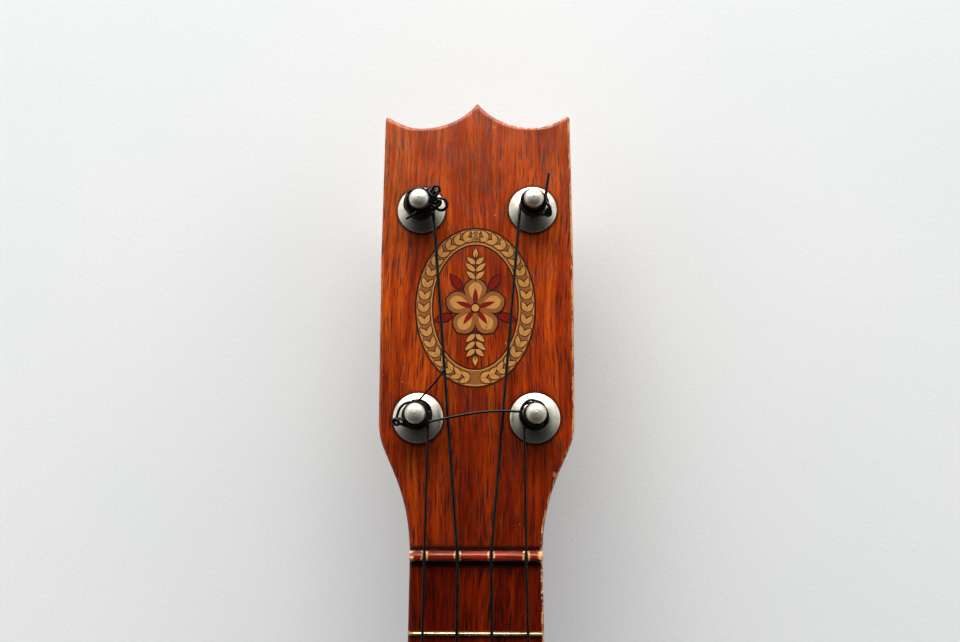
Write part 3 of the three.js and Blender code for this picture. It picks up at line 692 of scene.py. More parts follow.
def bezier(a, b, c, d, steps=24):
    t = np.linspace(0, 1, steps + 1)[:, None]
    a, b, c, d = (np.array(p, float) for p in (a, b, c, d))
    return (1 - t) ** 3 * a + 3 * (1 - t) ** 2 * t * b + 3 * (1 - t) * t**2 * c + t**3 * d


def chain(*curves):
    """Curves end to end, with each shared point once."""
    return np.vstack([curves[0], *(curve[1:] for curve in curves[1:])])


def evenly(points, spacing):
    """The same path with points at even distances."""
    lengths = np.concatenate([[0], np.cumsum(np.linalg.norm(np.diff(points, axis=0), axis=1))])
    at = np.linspace(0, lengths[-1], max(2, int(round(lengths[-1] / spacing)) + 1))
    return np.stack([np.interp(at, lengths, column) for column in points.T], 1)


def gentle(stations):
    """A function through (place, value) pairs that bends smoothly and never overshoots."""
    x, y = (np.array(v, float) for v in zip(*sorted(stations)))
    slope = np.diff(y) / np.diff(x)
    tangent = np.concatenate([[slope[0]], np.zeros(len(slope) - 1), [slope[-1]]])
    same = slope[:-1] * slope[1:] > 0
    tangent[1:-1][same] = 2 * slope[:-1][same] * slope[1:][same] / (slope[:-1][same] + slope[1:][same])
    fine = np.linspace(x[0], x[-1], 800)
    i = np.clip(np.searchsorted(x, fine, side="right") - 1, 0, len(slope) - 1)
    h = x[i + 1] - x[i]
    t = (fine - x[i]) / h
    hermite = (2 * t**3 - 3 * t**2 + 1) * y[i] + (t**3 - 2 * t**2 + t) * h * tangent[i]
    hermite += (-2 * t**3 + 3 * t**2) * y[i + 1] + (t**3 - t**2) * h * tangent[i + 1]
    return lambda v: np.interp(v, fine, hermite)


# ------------------------------------------------------------------ neck and headstock
def side_of_head():
    """Half width of the headstock as a function of the way from the nut."""
    w, start = HEAD_HALF_WIDTH, NUT_WIDTH / 2
    flare = bezier((start, 0), (start + 0.3, 12), (22.3, 19.5), (24.8, 25))
    shoulder = bezier((24.8, 25), (26.6, 29), (w - 0.6, 31), (w - 0.5, 36))
    side = np.array([(start, -20), *chain(flare, shoulder), (w + 0.1, 85), (w - 0.1, 129.5), (w - 0.1, 150)])
    return lambda y: np.interp(y, side[:, 1], side[:, 0])


def crown_of_head():
    """How far the crown reaches as a function of the way across."""
    w = HEAD_HALF_WIDTH
    outer = bezier((w - 0.1, 129.5), (25, 127.5), (21.5, 125.2), (17, 125.2))
    inner = bezier((17, 125.2), (10, 125.2), (3.4, 128.6), (0, HEAD_LENGTH))
    crown = np.vstack([[(40, 136)], chain(outer, inner)])[::-1]
    return lambda x: np.interp(x, crown[:, 0], crown[:, 1])


SIDE = side_of_head()
CROWN = crown_of_head()
# The neck's depth below the fingerboard, and its section: |x/w|^power + (z/depth)^2 = 1.
NECK_DEPTH = gentle([
    (24, 8), (16, 11.6), (8, 12.8), (0, 13.8), (-20, 14.1), (-70, 14.8), (-125, 15.6), (-138, 16.6),
    (-148, 19), (-156, 24), (-162, 31), (-167, 40.5), (-171, 50.5), (-175, 62), (-190, 110),
])
NECK_POWER = gentle([
    (24, 2.8), (0, 2.56), (-125, 2.5), (-148, 2.22), (-162, 1.89), (-175, 1.64), (-190, 1.6),
])


def neck_half_width(y):
    return np.interp(y, [JOINT_Y, 0], [NECK_END_WIDTH / 2, NUT_WIDTH / 2])


def slope_of(function, at, nudge=0.05):
    return (function(at + nudge) - function(at - nudge)) / (2 * nudge)


def rounded_section(x, z, half_width, depth, power):
    """Rough signed distance to a section that is flat on top and rounded below."""
    below = np.minimum(z, 0)
    across = np.maximum(np.abs(x), 1e-6) / half_width
    total = across**power + (below / depth) ** 2
    rise_x = power * across ** (power - 1) / half_width
    rise_z = 2 * below / depth**2
    root = np.sqrt(np.maximum(total, 1e-9))
    steep = np.sqrt(rise_x**2 + rise_z**2) / (2 * root)
    return (root - 1) / np.maximum(steep, 0.5 / half_width)


def head_plan(x, y):
    """Distance in the headstock's plan, rounded at the crown's corners."""
    side = (np.abs(x) - SIDE(y)) / np.sqrt(1 + slope_of(SIDE, y) ** 2)
    crown = (y - CROWN(np.abs(x))) / np.sqrt(1 + slope_of(CROWN, np.abs(x)) ** 2)
    return smooth_max(side, crown, 1.4)


def neck_field(x, y, z):
    """The whole neck: shaft, heel and headstock, blended where they meet and eased along the edges."""
    yh, zh = to_head(y, z)
    shaft = rounded_section(x, z, neck_half_width(y), NECK_DEPTH(y), NECK_POWER(y))
    shaft = smooth_max(shaft, -(z + HEEL_DEPTH), 2.0)
    shaft = smooth_max(shaft, y - 17, 4.0)
    # Behind the nut the headstock's square section grows out of the neck's round one.
    grown = np.maximum(yh, 0)
    swell = rounded_section(x, zh, NUT_WIDTH / 2 + 1.5 * grown, 11.5 + 1.1 * grown, 2.6)
    slab = smooth_max(head_plan(x, yh), -(zh + HEAD_THICKNESS), 2.0)
    slab = smooth_max(slab, swell, 2.5)
    slab = np.maximum(slab, -6 - yh)
    # Near the face both have the same side, so the blend grows from nothing there.
    whole = smooth_min(shaft, slab, np.clip(-(z + 4) * 0.9, 0.01, 5.0))
    whole = smooth_max(whole, np.maximum(z, zh), 1.1)
    return np.maximum(whole, JOINT_Y + GAP - y)


def cut_away(thing, parts, place):
    """Cuts closed solids, given as (vertices, faces) pairs, out of a piece."""
    vertices, faces = joined(*parts)
    mesh = bpy.data.meshes.new("cutter")
    mesh.from_pydata(placed(vertices, place).tolist(), [], faces)
    cutter = bpy.data.objects.new("cutter", mesh)
    bpy.context.scene.collection.objects.link(cutter)
    modifier = thing.modifiers.new("cut", "BOOLEAN")
    modifier.operation = "DIFFERENCE"
    modifier.solver = "EXACT"
    modifier.object = cutter
    bpy.context.view_layer.update()
    made = bpy.data.meshes.new_from_object(thing.evaluated_get(bpy.context.evaluated_depsgraph_get()))
    thing.modifiers.clear()
    thing.data = made
    bpy.data.objects.remove(cutter)


def block(low, high):
    (x0, y0, z0), (x1, y1, z1) = low, high
    points = [(x, y, z) for z in (z0, z1) for x, y in ((x0, y0), (x1, y0), (x1, y1), (x0, y1))]
    faces = [(3, 2, 1, 0), (4, 5, 6, 7), (0, 1, 5, 4), (1, 2, 6, 5), (2, 3, 7, 6), (3, 0, 4, 7)]
    return np.array(points, float), faces


def in_instrument(part):
    """A head-frame part in the instrument frame."""
    return placed(part[0], HEAD_IN_INSTRUMENT), part[1]


def make_neck():
    step = 0.6
    low, high = (-29.5, JOINT_Y - 1, -HEEL_DEPTH - 1.5), (29.5, 137.5, 1.5)
    vertices, faces = carved(neck_field, low, high, step)
    x, y, z = vertices.T
    yh, zh = to_head(y, z)
    on_head = yh > 0
    grain = np.where(on_head[:, None], np.stack([x, yh, zh], 1), vertices)
    from_side = np.where(on_head, SIDE(yh), neck_half_width(y)) - np.abs(x)
    from_crown = CROWN(np.abs(x)) - yh
    depth = -np.where(on_head, zh, z)
    rim = np.hypot(np.maximum(np.minimum(from_side, from_crown), 0), np.maximum(depth, 0))
    # The second attribute makes the wood darker and redder towards the body: partly its own tone, partly
    # painted shade.
    extra = {"rim": rim, "dusk": np.interp(yh, [-30, -1, 1, 30, 75, 140], [0.86, 0.78, 0.6, 0.44, 0.06, 0])}
    neck = piece("neck_wood", vertices, faces, INSTRUMENT, KOA_NECK, "instrument", ["neck"], "koa",
                 sharp=None, grain=grain, extra=extra)
    holes = []
    for string in STRINGS.values():
        under = -HEAD_THICKNESS - 5
        hole = turned([(0, under), (PEG_HOLE_RADIUS, under), (PEG_HOLE_RADIUS, 5), (0, 5)], 32)
        holes.append(in_instrument(moved(hole, (*string["peg"], 0))))
    slots = []
    for n in range(1, FRETS + 1):
        at = -fret_distance(n)
        slots.append(block((-40, at - 0.3, -2), (40, at + 0.3, 5)))
    seat = block((-40, 0, -NUT_DEPTH), (40, NUT_THICKNESS, 20))
    cut_away(neck, [*holes, *slots, seat], INSTRUMENT)
    neck.data.set_sharp_from_angle(angle=math.radians(50))


def make_nut():
    """The nut is of the same wood, rounded on top and worn pale beside the string slots."""
    half = NUT_WIDTH / 2

    def field(x, y, z):
        top = NUT_HEIGHT - 0.9 * np.clip((y - 1.1) / (NUT_THICKNESS - 1.1), 0, 1) ** 2
        top = top - 0.25 * np.clip((np.abs(x) - half + 1.2) / 1.2, 0, 1) ** 2
        side = np.maximum(np.abs(x) - half, -NUT_DEPTH + GAP - z)
        bar = smooth_max(np.maximum(GAP / 2 - y, y - NUT_THICKNESS + GAP / 2), z - top, 1.0)
        bar = smooth_max(bar, side, 0.5)
        for string in STRINGS.values():
            r = string["diameter"] / 2 + 0.06
            lowest = NUT_HEIGHT - NUT_SLOT_DEPTH + r
            off = x - string["nut"]
            notch = np.where(z > lowest, np.abs(off), np.hypot(off, z - lowest)) - r
            bar = smooth_max(bar, -notch, 0.25)
        return bar

    low, high = (-half - 0.6, -0.6, -NUT_DEPTH - 0.4), (half + 0.6, NUT_THICKNESS + 0.6, NUT_HEIGHT + 0.6)
    vertices, faces = carved(field, low, high, 0.2)
    x = vertices[:, 0]
    slots = np.array([s["nut"] for s in STRINGS.values()])
    near = np.abs(x[:, None] - slots[None, :]).min(1)
    bare = np.exp(-(((near - 0.55) / 0.6) ** 2)) + np.exp(-(((half - np.abs(x)) / 1.7) ** 2))
    extra = {"rim": 1.2 - 0.95 * np.clip(bare, 0, 1) * (vertices[:, 2] > 0), "dusk": np.full(len(x), 0.25)}
    grain = vertices[:, [1, 0, 2]] + (70, -300, 0)
    piece("nut_wood", vertices, faces, INSTRUMENT, KOA_NUT, "instrument", ["nut"], "koa_dark",
          sharp=None, grain=grain, extra=extra)


def make_frets():
    """Low rounded wire with bevelled ends, tang and all."""
    crown = [(0.5 * math.cos(a), 0.03 + 0.72 * math.sin(a)) for a in np.radians(np.linspace(0, 180, 13))]
    section = [(0.22, -1.8), (0.22, 0.02), *crown, (-0.22, 0.02), (-0.22, -1.8)]
    for n in range(1, FRETS + 1):
        y, half = -fret_distance(n), neck_half_width(-fret_distance(n)) - 0.1
        vertices, rings = [], []
        for end, tip in ((-1, True), (-1, False), (1, False), (1, True)):
            rings.append(list(range(len(vertices), len(vertices) + len(section))))
            for across, z in section:
                reach = half - 0.1 - (0.55 * max(z, 0) if tip else 0.5 + 0.1 * max(z, 0))
                narrow, low = (0.8, 0.86) if tip and z > 0.02 else (1.0, 1.0)
                vertices.append((end * reach, y + across * narrow, z * low))
        faces = ring_faces(rings, len(section)) + [rings[0][::-1], rings[-1]]
        piece(f"fret_wire_{n:02d}", *flipped((vertices, faces)), INSTRUMENT, FRET_METAL, "instrument",
              [f"fret_{n:02d}"], "fret_wire", sharp=35)


# ------------------------------------------------------------------ body
def half_outline():
    """The treble half of the body's outline, from the neck joint to the tail, in the instrument frame."""
    length = BODY_LENGTH
    line = np.linspace((0, 0), (21, 0), 8)
    upper = bezier((21, 0), (44, 0), (60.5, -22), (60.5, -48))
    waist_in = bezier((60.5, -48), (60.5, -68), (49, -80), (49, -98))
    waist_out = bezier((49, -98), (49, -122), (79.5, -135), (79.5, -172))
    lower = bezier((79.5, -172), (79.5, -212), (42, -length), (0, -length))
    half = evenly(chain(line, upper, waist_in, waist_out, lower), 1.6)
    widest = 1000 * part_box("back_plate")[1].x
    half[:, 0] *= widest / half[:, 0].max()
    return half + (0, JOINT_Y)


HALF = half_outline()
PLATE_EDGE = 0.7  # how far the plates' rims are rounded
LIP_EDGE = 0.5  # and the soundhole's
FLAT_MARGIN = 0.5
CIRCLE_SIDES = 120


def full_loop(half):
    """Both halves as one loop, anticlockwise, that starts at the tail."""
    right = half[::-1]
    left = half[1:-1] * (-1, 1)
    return np.vstack([right, left])


def inset(loop, distance, closed=True):
    """A loop or line moved inwards; the inside is on its left."""
    ahead, behind = np.roll(loop, -1, 0), np.roll(loop, 1, 0)
    if not closed:
        ahead[-1], behind[0] = loop[-1], loop[0]
    along = ahead - behind
    along /= np.linalg.norm(along, axis=1)[:, None]
    if not closed:
        along[0], along[-1] = (1, 0), (-1, 0)
    return loop + distance * np.stack([-along[:, 1], along[:, 0]], 1)


def eased(radius, z0, z1, steps=4):
    """(inset, z) pairs down an edge whose top and bottom corners are rounded, from high z1 to low z0, with a
    margin of the flat faces at each end."""
    quarter = [radius * (1 - math.sin(a)) for a in np.linspace(0, math.pi / 2, steps + 1)]
    top = [(q, z1 - quarter[-1 - k]) for k, q in enumerate(quarter)]
    bottom = [(q, z0 + quarter[-1 - k]) for k, q in enumerate(quarter)][::-1]
    return [(radius + FLAT_MARGIN, z1), *top, *bottom, (radius + FLAT_MARGIN, z0)]


def stacked(loop, profile):
    """Points of a loop moved in by each inset, at each height, and the faces between the rings."""
    rings, points = [], []
    for distance, z in profile:
        line = inset(loop, distance)
        rings.append(list(range(len(points), len(points) + len(line))))
        points += [(x, y, z) for x, y in line]
    return np.array(points), ring_faces(rings[::-1], len(loop))


def fill_flat(loops, z, up):
    """Triangles of a flat face between an outer loop and any holes in it."""
    bm = bmesh.new()
    edges = []
    for loop in loops:
        ring = [bm.verts.new((x, y, z)) for x, y in loop]
        edges += [bm.edges.new((a, b)) for a, b in zip(ring, ring[1:] + ring[:1])]
    bmesh.ops.triangle_fill(bm, use_beauty=True, edges=edges)
    bm.verts.index_update()
    points = np.array([v.co[:] for v in bm.verts])
    faces = []
    for f in bm.faces:
        faces.append([v.index for v in f.verts][:: 1 if (f.normal.z > 0) == up else -1])
    bm.free()
    return points, faces


def merged(part, distance=1e-4):
    """The same mesh with points in one place made one, and its faces turned outwards."""
    points, faces = part
    bm = bmesh.new()
    verts = [bm.verts.new(p) for p in points]
    for face in faces:
        bm.faces.new([verts[i] for i in face])
    bmesh.ops.remove_doubles(bm, verts=bm.verts, dist=distance)
    bmesh.ops.recalc_face_normals(bm, faces=bm.faces)
    bm.verts.index_update()
    out = np.array([v.co[:] for v in bm.verts]), [[v.index for v in f.verts] for f in bm.faces]
    bm.free()
    return out


def circle(radius, centre_y):
    turns = [2 * math.pi / CIRCLE_SIDES * i for i in range(CIRCLE_SIDES)]
    return np.array([(radius * math.cos(t), centre_y + radius * math.sin(t)) for t in turns])


def make_soundboard():
    """A plate with an eased rim, an eased soundhole and a shallow groove for the inlaid rings."""
    outer, hole = full_loop(HALF), circle(SOUNDHOLE_RADIUS, SOUNDHOLE_Y)
    flat_outer, flat_hole = inset(outer, PLATE_EDGE + FLAT_MARGIN), inset(hole, -LIP_EDGE - FLAT_MARGIN)
    lip = [(-distance, z) for distance, z in eased(LIP_EDGE, -PLATE, 0)]
    groove_in, groove_out = circle(ROSETTE_INNER - GAP, SOUNDHOLE_Y), circle(ROSETTE_OUTER + GAP, SOUNDHOLE_Y)
    bottom = -ROSETTE_DEPTH - GAP
    groove = [(groove_out, 0), (groove_out, bottom), (groove_in, bottom), (groove_in, 0)]
    channel = np.vstack([np.column_stack([line, np.full(len(line), z)]) for line, z in groove])
    rings = [list(range(k * CIRCLE_SIDES, (k + 1) * CIRCLE_SIDES)) for k in range(len(groove))]
    parts = [
        stacked(outer, eased(PLATE_EDGE, -PLATE, 0)),
        stacked(hole, lip),
        (channel, ring_faces(rings, CIRCLE_SIDES)),
        fill_flat([flat_outer, groove_out], 0, True),
        fill_flat([groove_in, flat_hole], 0, True),
        fill_flat([flat_outer, flat_hole], -PLATE, False),
    ]
    vertices, faces = merged(joined(*parts))
    piece("soundboard_wood", vertices, faces, INSTRUMENT, KOA_BODY, "instrument", ["soundboard"], "koa",
          grain=vertices + (40, 0, 0))
    low, high, inner, outer = -ROSETTE_DEPTH, -0.02, ROSETTE_INNER, ROSETTE_OUTER
    profile = [(inner, low), (outer, low), (outer, high), (outer - 0.1, 0), (inner + 0.1, 0), (inner, high)]
    place = INSTRUMENT @ Matrix.Translation((0, SOUNDHOLE_Y, 0))
    piece("rosette_rings", *turned_ring(profile, CIRCLE_SIDES), place, ROSETTE_INLAY, "instrument",
        ["rosette"],
          "inlay", sharp=30)


def make_back():
    outer = full_loop(HALF) - (0, TAIL_Y)
    rim = stacked(outer, eased(PLATE_EDGE, 0, PLATE))
    flat = inset(outer, PLATE_EDGE + FLAT_MARGIN)
    vertices, faces = merged(joined(rim, fill_flat([flat], PLATE, True), fill_flat([flat], 0, False)))
    piece("back_wood", vertices, faces, BACK, KOA_BODY, "instrument", ["back_plate"], "koa",
          grain=vertices + (200, 0, 9))


def make_rib(side, sign):
    """One bent side, from the neck joint to the tail, between the two plates."""
    line = HALF.copy()
    inner = inset(HALF[::-1], RIB, closed=False)[::-1]
    for points in (line, inner):
        points[:, 0] = np.maximum(points[:, 0], GAP / 2)
    along = np.concatenate([[0], np.cumsum(np.linalg.norm(np.diff(HALF, axis=0), axis=1))])
    vertices, grain, rings = [], [], []
    for (ox, oy), (ix, iy), s in zip(line, inner, along):
        top, outer_low, inner_low = -PLATE - GAP / 2, inside_back_z(oy) + GAP, inside_back_z(iy) + GAP
        section = [(ox, oy, top), (ix, iy, top), (ix, iy, inner_low), (ox, oy, outer_low)]
        rings.append(list(range(len(vertices), len(vertices) + 4)))
        vertices += [(sign * x, y, z) for x, y, z in section]
        grain += [(z + 300 * sign, s, depth) for (_, _, z), depth in zip(section, (0, RIB, RIB, 0))]
    faces = ring_faces(rings, 4) + [rings[0][::-1], rings[-1]]
    vertices, faces = merged((np.array(vertices), faces), 1e-6)
    piece(f"rib_wood_{side}", vertices, faces, INSTRUMENT, KOA_BODY, "instrument", [f"rib_{side}"], "koa",
          grain=np.array(grain))


# ------------------------------------------------------------------ bridge
def make_bridge():
    half, flat = BRIDGE_LENGTH / 2, 25
    front = SADDLE_Y + 4.5
    back = front - BRIDGE_WIDTH
    ledge = 2.2
    sweep = bezier((flat, BRIDGE_HEIGHT), (flat + 3, 1.8), (half - 3, 2), (half, 1.4))
    top_of = gentle([(0, BRIDGE_HEIGHT), (flat - 0.1, BRIDGE_HEIGHT), *[tuple(p) for p in sweep[2::3]]])

    def field(x, y, z):
        top = top_of(np.abs(x))
        body = smooth_max(np.abs(x) - half, np.maximum(back - y, y - front), 0.8)
        body = smooth_max(body, (z - top) * 0.8, 0.9)
        body = np.maximum(body, GAP / 2 - z)
        step_back = np.maximum(y - (back + 4), ledge - z)
        body = smooth_max(body, -step_back, 0.5)
        groove = box_field(x, y, z, (-23.1, SADDLE_Y - 1.05, 2), (23.1, SADDLE_Y + 1.05, 9))
        body = np.maximum(body, -groove)
        for string in STRINGS.values():
            at = string["saddle"]
            slot = box_field(x, y, z, (at - 0.65, back + 2, 2.4), (at + 0.65, SADDLE_Y, 9))
            body = smooth_max(body, -slot, 0.2)
        return body

    near, far = (-half - 1, back - 1, -0.5), (half + 1, front + 1, BRIDGE_HEIGHT + 1)
    vertices, faces = carved(field, near, far, 0.35)
    piece("bridge_wood", vertices, faces, INSTRUMENT, KOA_BODY, "instrument", ["bridge"], "koa", sharp=None,
          grain=vertices[:, [1, 0, 2]] + (90, 0, 0))

    def saddle_field(x, y, z):
        top = SADDLE_TOP - 0.0006 * x * x
        bar = smooth_max(np.abs(y - SADDLE_Y) - SADDLE_THICKNESS / 2, z - top, 1.1)
        return smooth_max(bar, np.maximum(np.abs(x) - 23, 2.1 - z), 0.5)

    low, high = (-23.8, SADDLE_Y - 1.6, 1.6), (23.8, SADDLE_Y + 1.6, SADDLE_TOP + 0.5)
    vertices, faces = carved(saddle_field, low, high, 0.24)
    piece("saddle_bone", vertices, faces, INSTRUMENT, BONE, "instrument", ["saddle"], "bone", sharp=None)


# ------------------------------------------------------------------ friction pegs
def peg_place(name):
    return HEAD @ Matrix.Translation((*STRINGS[name]["peg"], 0))


def front_washer():
    """A thin dished cone with a turned-down rim."""
    return turned_ring([
        (WASHER_BORE_RADIUS, 1.5), (4, 1.4), (5.6, 0.6), (6.5, 0.16), (6.75, 0.1), (7.0, 0.1), (7.12, 0.18),
        (FRONT_WASHER_RADIUS, 0.32), (7.12, 0.46), (7.0, 0.56), (6.6, 0.76), (5.8, 1.18), (5.0, 1.56),
        (4.2, 1.86), (3.5, 2.03), (2.9, 2.09), (2.5, 2.1), (WASHER_BORE_RADIUS, 2.04),
    ], 96)


def rear_washer():
    return turned_ring([
        (WASHER_BORE_RADIUS, REAR - 2.25), (2.6, REAR - 2.3), (3.6, REAR - 2.26), (4.4, REAR - 1.95),
        (5.2, REAR - 1.4), (5.75, REAR - 0.85), (5.96, REAR - 0.5), (REAR_WASHER_RADIUS, REAR - 0.28),
        (5.9, REAR - 0.12), (5.6, REAR - GAP), (5.2, REAR - 0.2), (4, REAR - 1.5),
        (WASHER_BORE_RADIUS, REAR - 1.6),
    ], 80)


def post():
    """The post with its shoulder, waist and domed cap, which keeps the little nib of its lathe centre."""
    dome = []
    for a in np.radians(np.linspace(0, 86, 14)):
        dome.append((POST_CAP_RADIUS * math.cos(a) ** 0.92, 10.25 + 1.55 * math.sin(a) ** 1.05))
    return turned([
        (0, POST_END + 7), (1.15, POST_END + 7), (1.15, POST_END), (1.7, POST_END), (1.7, BUTTON_TOP),
        (POST_RADIUS, BUTTON_TOP), (POST_RADIUS, 2.3), (3.35, 2.3), (3.5, 2.42), (3.5, 2.78), (3.35, 2.9),
        (2.6, 3.0), (2.3, 3.15), (POST_RADIUS, 3.4), (POST_RADIUS, 8.4), (2.35, 8.75), (2.65, 9.0),
        (2.8, 9.15), (POST_CAP_RADIUS, 9.35), *dome, (0.3, 11.81), (0.2, 11.93), (0.1, 11.98), (0, 11.99),
    ])


def button():
    """A flat ear with dished faces on a round collar, bored for the post and the screw."""
    top = BUTTON_TOP - 1.5
    ear = chain(
        bezier((3, top), (4.5, top - 2), (8.3, top - 2.5), (8.3, top - 6)),
        bezier((8.3, top - 6), (8.3, top - 10.5), (6.5, BUTTON_END), (3.2, BUTTON_END)),
    )[::-1]
    reach = gentle([(BUTTON_END - 3, 0.5), *[(z, x) for x, z in ear[3:-1:4]], (top, 3), (top + 3, 0.5)])

    def field(x, y, z):
        outline = (np.abs(x) - reach(z)) / np.sqrt(1 + slope_of(reach, z) ** 2)
        outline = smooth_max(outline, np.maximum(z - top, BUTTON_END - z), 1.2)
        dish = 0.75 * np.exp(-(((np.abs(x) - 5.4) / 1.9) ** 2 + ((z - (top - 7)) / 3.6) ** 2))
        paddle = smooth_max(outline, np.abs(y) - 2.4 + dish, 1.6)
        around = np.hypot(x, y)
        flare = np.interp(z, [BUTTON_TOP - 6, BUTTON_TOP - 5, BUTTON_TOP], [3.4, 4.2, 4.6])
        collar = np.maximum(around - flare, z - BUTTON_TOP + GAP)
        collar = np.maximum(collar, BUTTON_TOP - 6 - z)
        boss = np.maximum(around - 3.4, np.maximum(BUTTON_END - z, z - BUTTON_TOP + 3))
        whole = smooth_min(smooth_min(paddle, collar, 1.0), boss, 0.8)
        steps = [SCREW_SEAT, SCREW_SEAT + 0.01, POST_END - 0.31, POST_END - 0.3]
        bore = np.interp(z, steps, [2.8, 1.2, 1.2, 1.85])
        return smooth_max(whole, bore - around, 0.25)

    return carved(field, (-9, -5.2, BUTTON_END - 0.8), (9, 5.2, BUTTON_TOP + 0.6), 0.34)


def screw():
    """A domed screw head with a slot, on a plain shank."""
    top = SCREW_SEAT - GAP

    def field(x, y, z):
        around = np.hypot(x, y)
        dome = BUTTON_END - 0.5 + 0.075 * around**2
        head = smooth_max(np.maximum(around - 2.5, z - top), dome - z, 0.35)
        slot = np.maximum(np.abs(y) - 0.32, z - (BUTTON_END + 0.45))
        return smooth_max(head, -slot, 0.12)

    head = carved(field, (-2.9, -2.9, BUTTON_END - 0.9), (2.9, 2.9, top + 0.4), 0.15)
    shank = turned([
        (0, top - 0.3), (0.95, top - 0.3), (0.95, POST_END + 5.8), (0.75, POST_END + 6), (0, POST_END + 6),
    ], 24)
    return joined(head, flipped(shank))


def make_pegs():
    the_button = button()
    for name, string in STRINGS.items():
        peg, turn = f"peg_{name}", string["button"]
        for kind, part, material, body, node, slot, sharp in (
            ("washer_front", front_washer(), NICKEL, "instrument", "front_washer", "nickel", 50),
            ("washer_rear", rear_washer(), NICKEL, "instrument", "rear_washer", "nickel", 50),
            ("peg_shaft", flipped(post()), NICKEL_CAP, peg, "post", "nickel", 35),
            ("peg_button", moved(the_button, (0, 0, 0), turn), CELLULOID, peg, "button", "celluloid", None),
            ("peg_screw", moved(screw(), (0, 0, 0), turn), NICKEL, peg, "button_screw", "nickel", 35),
        ):
            piece(f"{kind}_{name}", *part, peg_place(name), material, body, [f"{node}_{name}"], slot,
                sharp=sharp)


# ------------------------------------------------------------------ strings
def coil(radii, r, low, high, start, way=1, dense=40):
    """Turns round the post in layers: each is (radius, turns), and climbs or falls between low and high."""
    path, angle, up = [], math.radians(start), True
    for radius, turns in radii:
        count = int(turns * dense)
        for k in range(count + 1):
            share = k / count
            z = low + (high - low) * (share if up else 1 - share)
            a = angle + way * 2 * math.pi * turns * share
            path.append((radius * math.cos(a), radius * math.sin(a), z))
        angle += way * 2 * math.pi * turns
        up = not up
    return tube(path, r, 10)


def make_strings():
    """Each string from its knot behind the bridge, over the saddle and the nut, to its post."""
    for name, string in STRINGS.items():
        r = string["diameter"] / 2
        back = SADDLE_Y + 4.5 - BRIDGE_WIDTH
        nut_z = NUT_HEIGHT - NUT_SLOT_DEPTH + r + GAP / 2
        on_post = HEAD_IN_INSTRUMENT @ Vector(
            (string["peg"][0] + string["side"] * (string["turns"] - r * 0.9), string["peg"][1],
            STRING_HEIGHT_AT_POST)
        )
        x, s = string["nut"], string["saddle"]
        over = [
            (s, back + 1.9, 2.9), (s, back + 3.4, 2.45 + r), (s, SADDLE_Y - 3.2, 3.1 + r),
            (s, SADDLE_Y - 1.4, SADDLE_TOP - 0.9 + r), (s, SADDLE_Y - 0.5, SADDLE_TOP - 0.06 + r),
            (s, SADDLE_Y + 0.4, SADDLE_TOP + r - 0.02),
        ]
        first, last = np.array(over[-1]), np.array((x, 0.4, nut_z + 0.02))
        span = [first + (last - first) * t for t in np.linspace(0.02, 0.98, 30)]
        beyond = np.array((x, NUT_THICKNESS - 0.5, nut_z - 0.04))
        rise = [beyond + (np.array(on_post) - beyond) * t for t in np.linspace(0.03, 1, 16)]
        path = [*through(over, 0.3), *span, last, beyond, *rise]
        knot_centre = np.array((s, back + 1.6, 2.2 + r + 0.35))
        knot = []
        for t in np.linspace(0, 2 * math.pi, 49)[:-1]:
            ring = 0.62 + 0.24 * math.cos(3 * t)
            loop = (1.25 * ring * math.cos(2 * t), 0.95 * ring * math.sin(2 * t), 0.34 * math.sin(3 * t))
            knot.append(knot_centre + loop)
        tag = through([
            (s + 0.5, back + 1.5, 3.3), (s + 1.4, back + 0.7, 3.6), (s + 2.6, back - 0.1, 3.2),
        ], 0.3)
        part = joined(tube(path, r, 12), tube(knot, r * 0.85, 10, closed=True), tube(tag, r * 0.9, 10))
        piece(f"string_line_{name}", *part, INSTRUMENT, STRING_BLACK, "instrument", [f"string_{name}"],
            "nylon",
              sharp=60)


def twisted(path, radius, turns):
    """A path that winds round another."""
    path = np.asarray(path)
    along = np.gradient(path, axis=0)
    along /= np.linalg.norm(along, axis=1)[:, None]
    side = np.cross(along, (0, 0, 1))
    side /= np.linalg.norm(side, axis=1)[:, None]
    angle = np.linspace(0, 2 * math.pi * turns, len(path))[:, None]
    return path + radius * (np.cos(angle) * side + np.sin(angle) * np.cross(along, side))


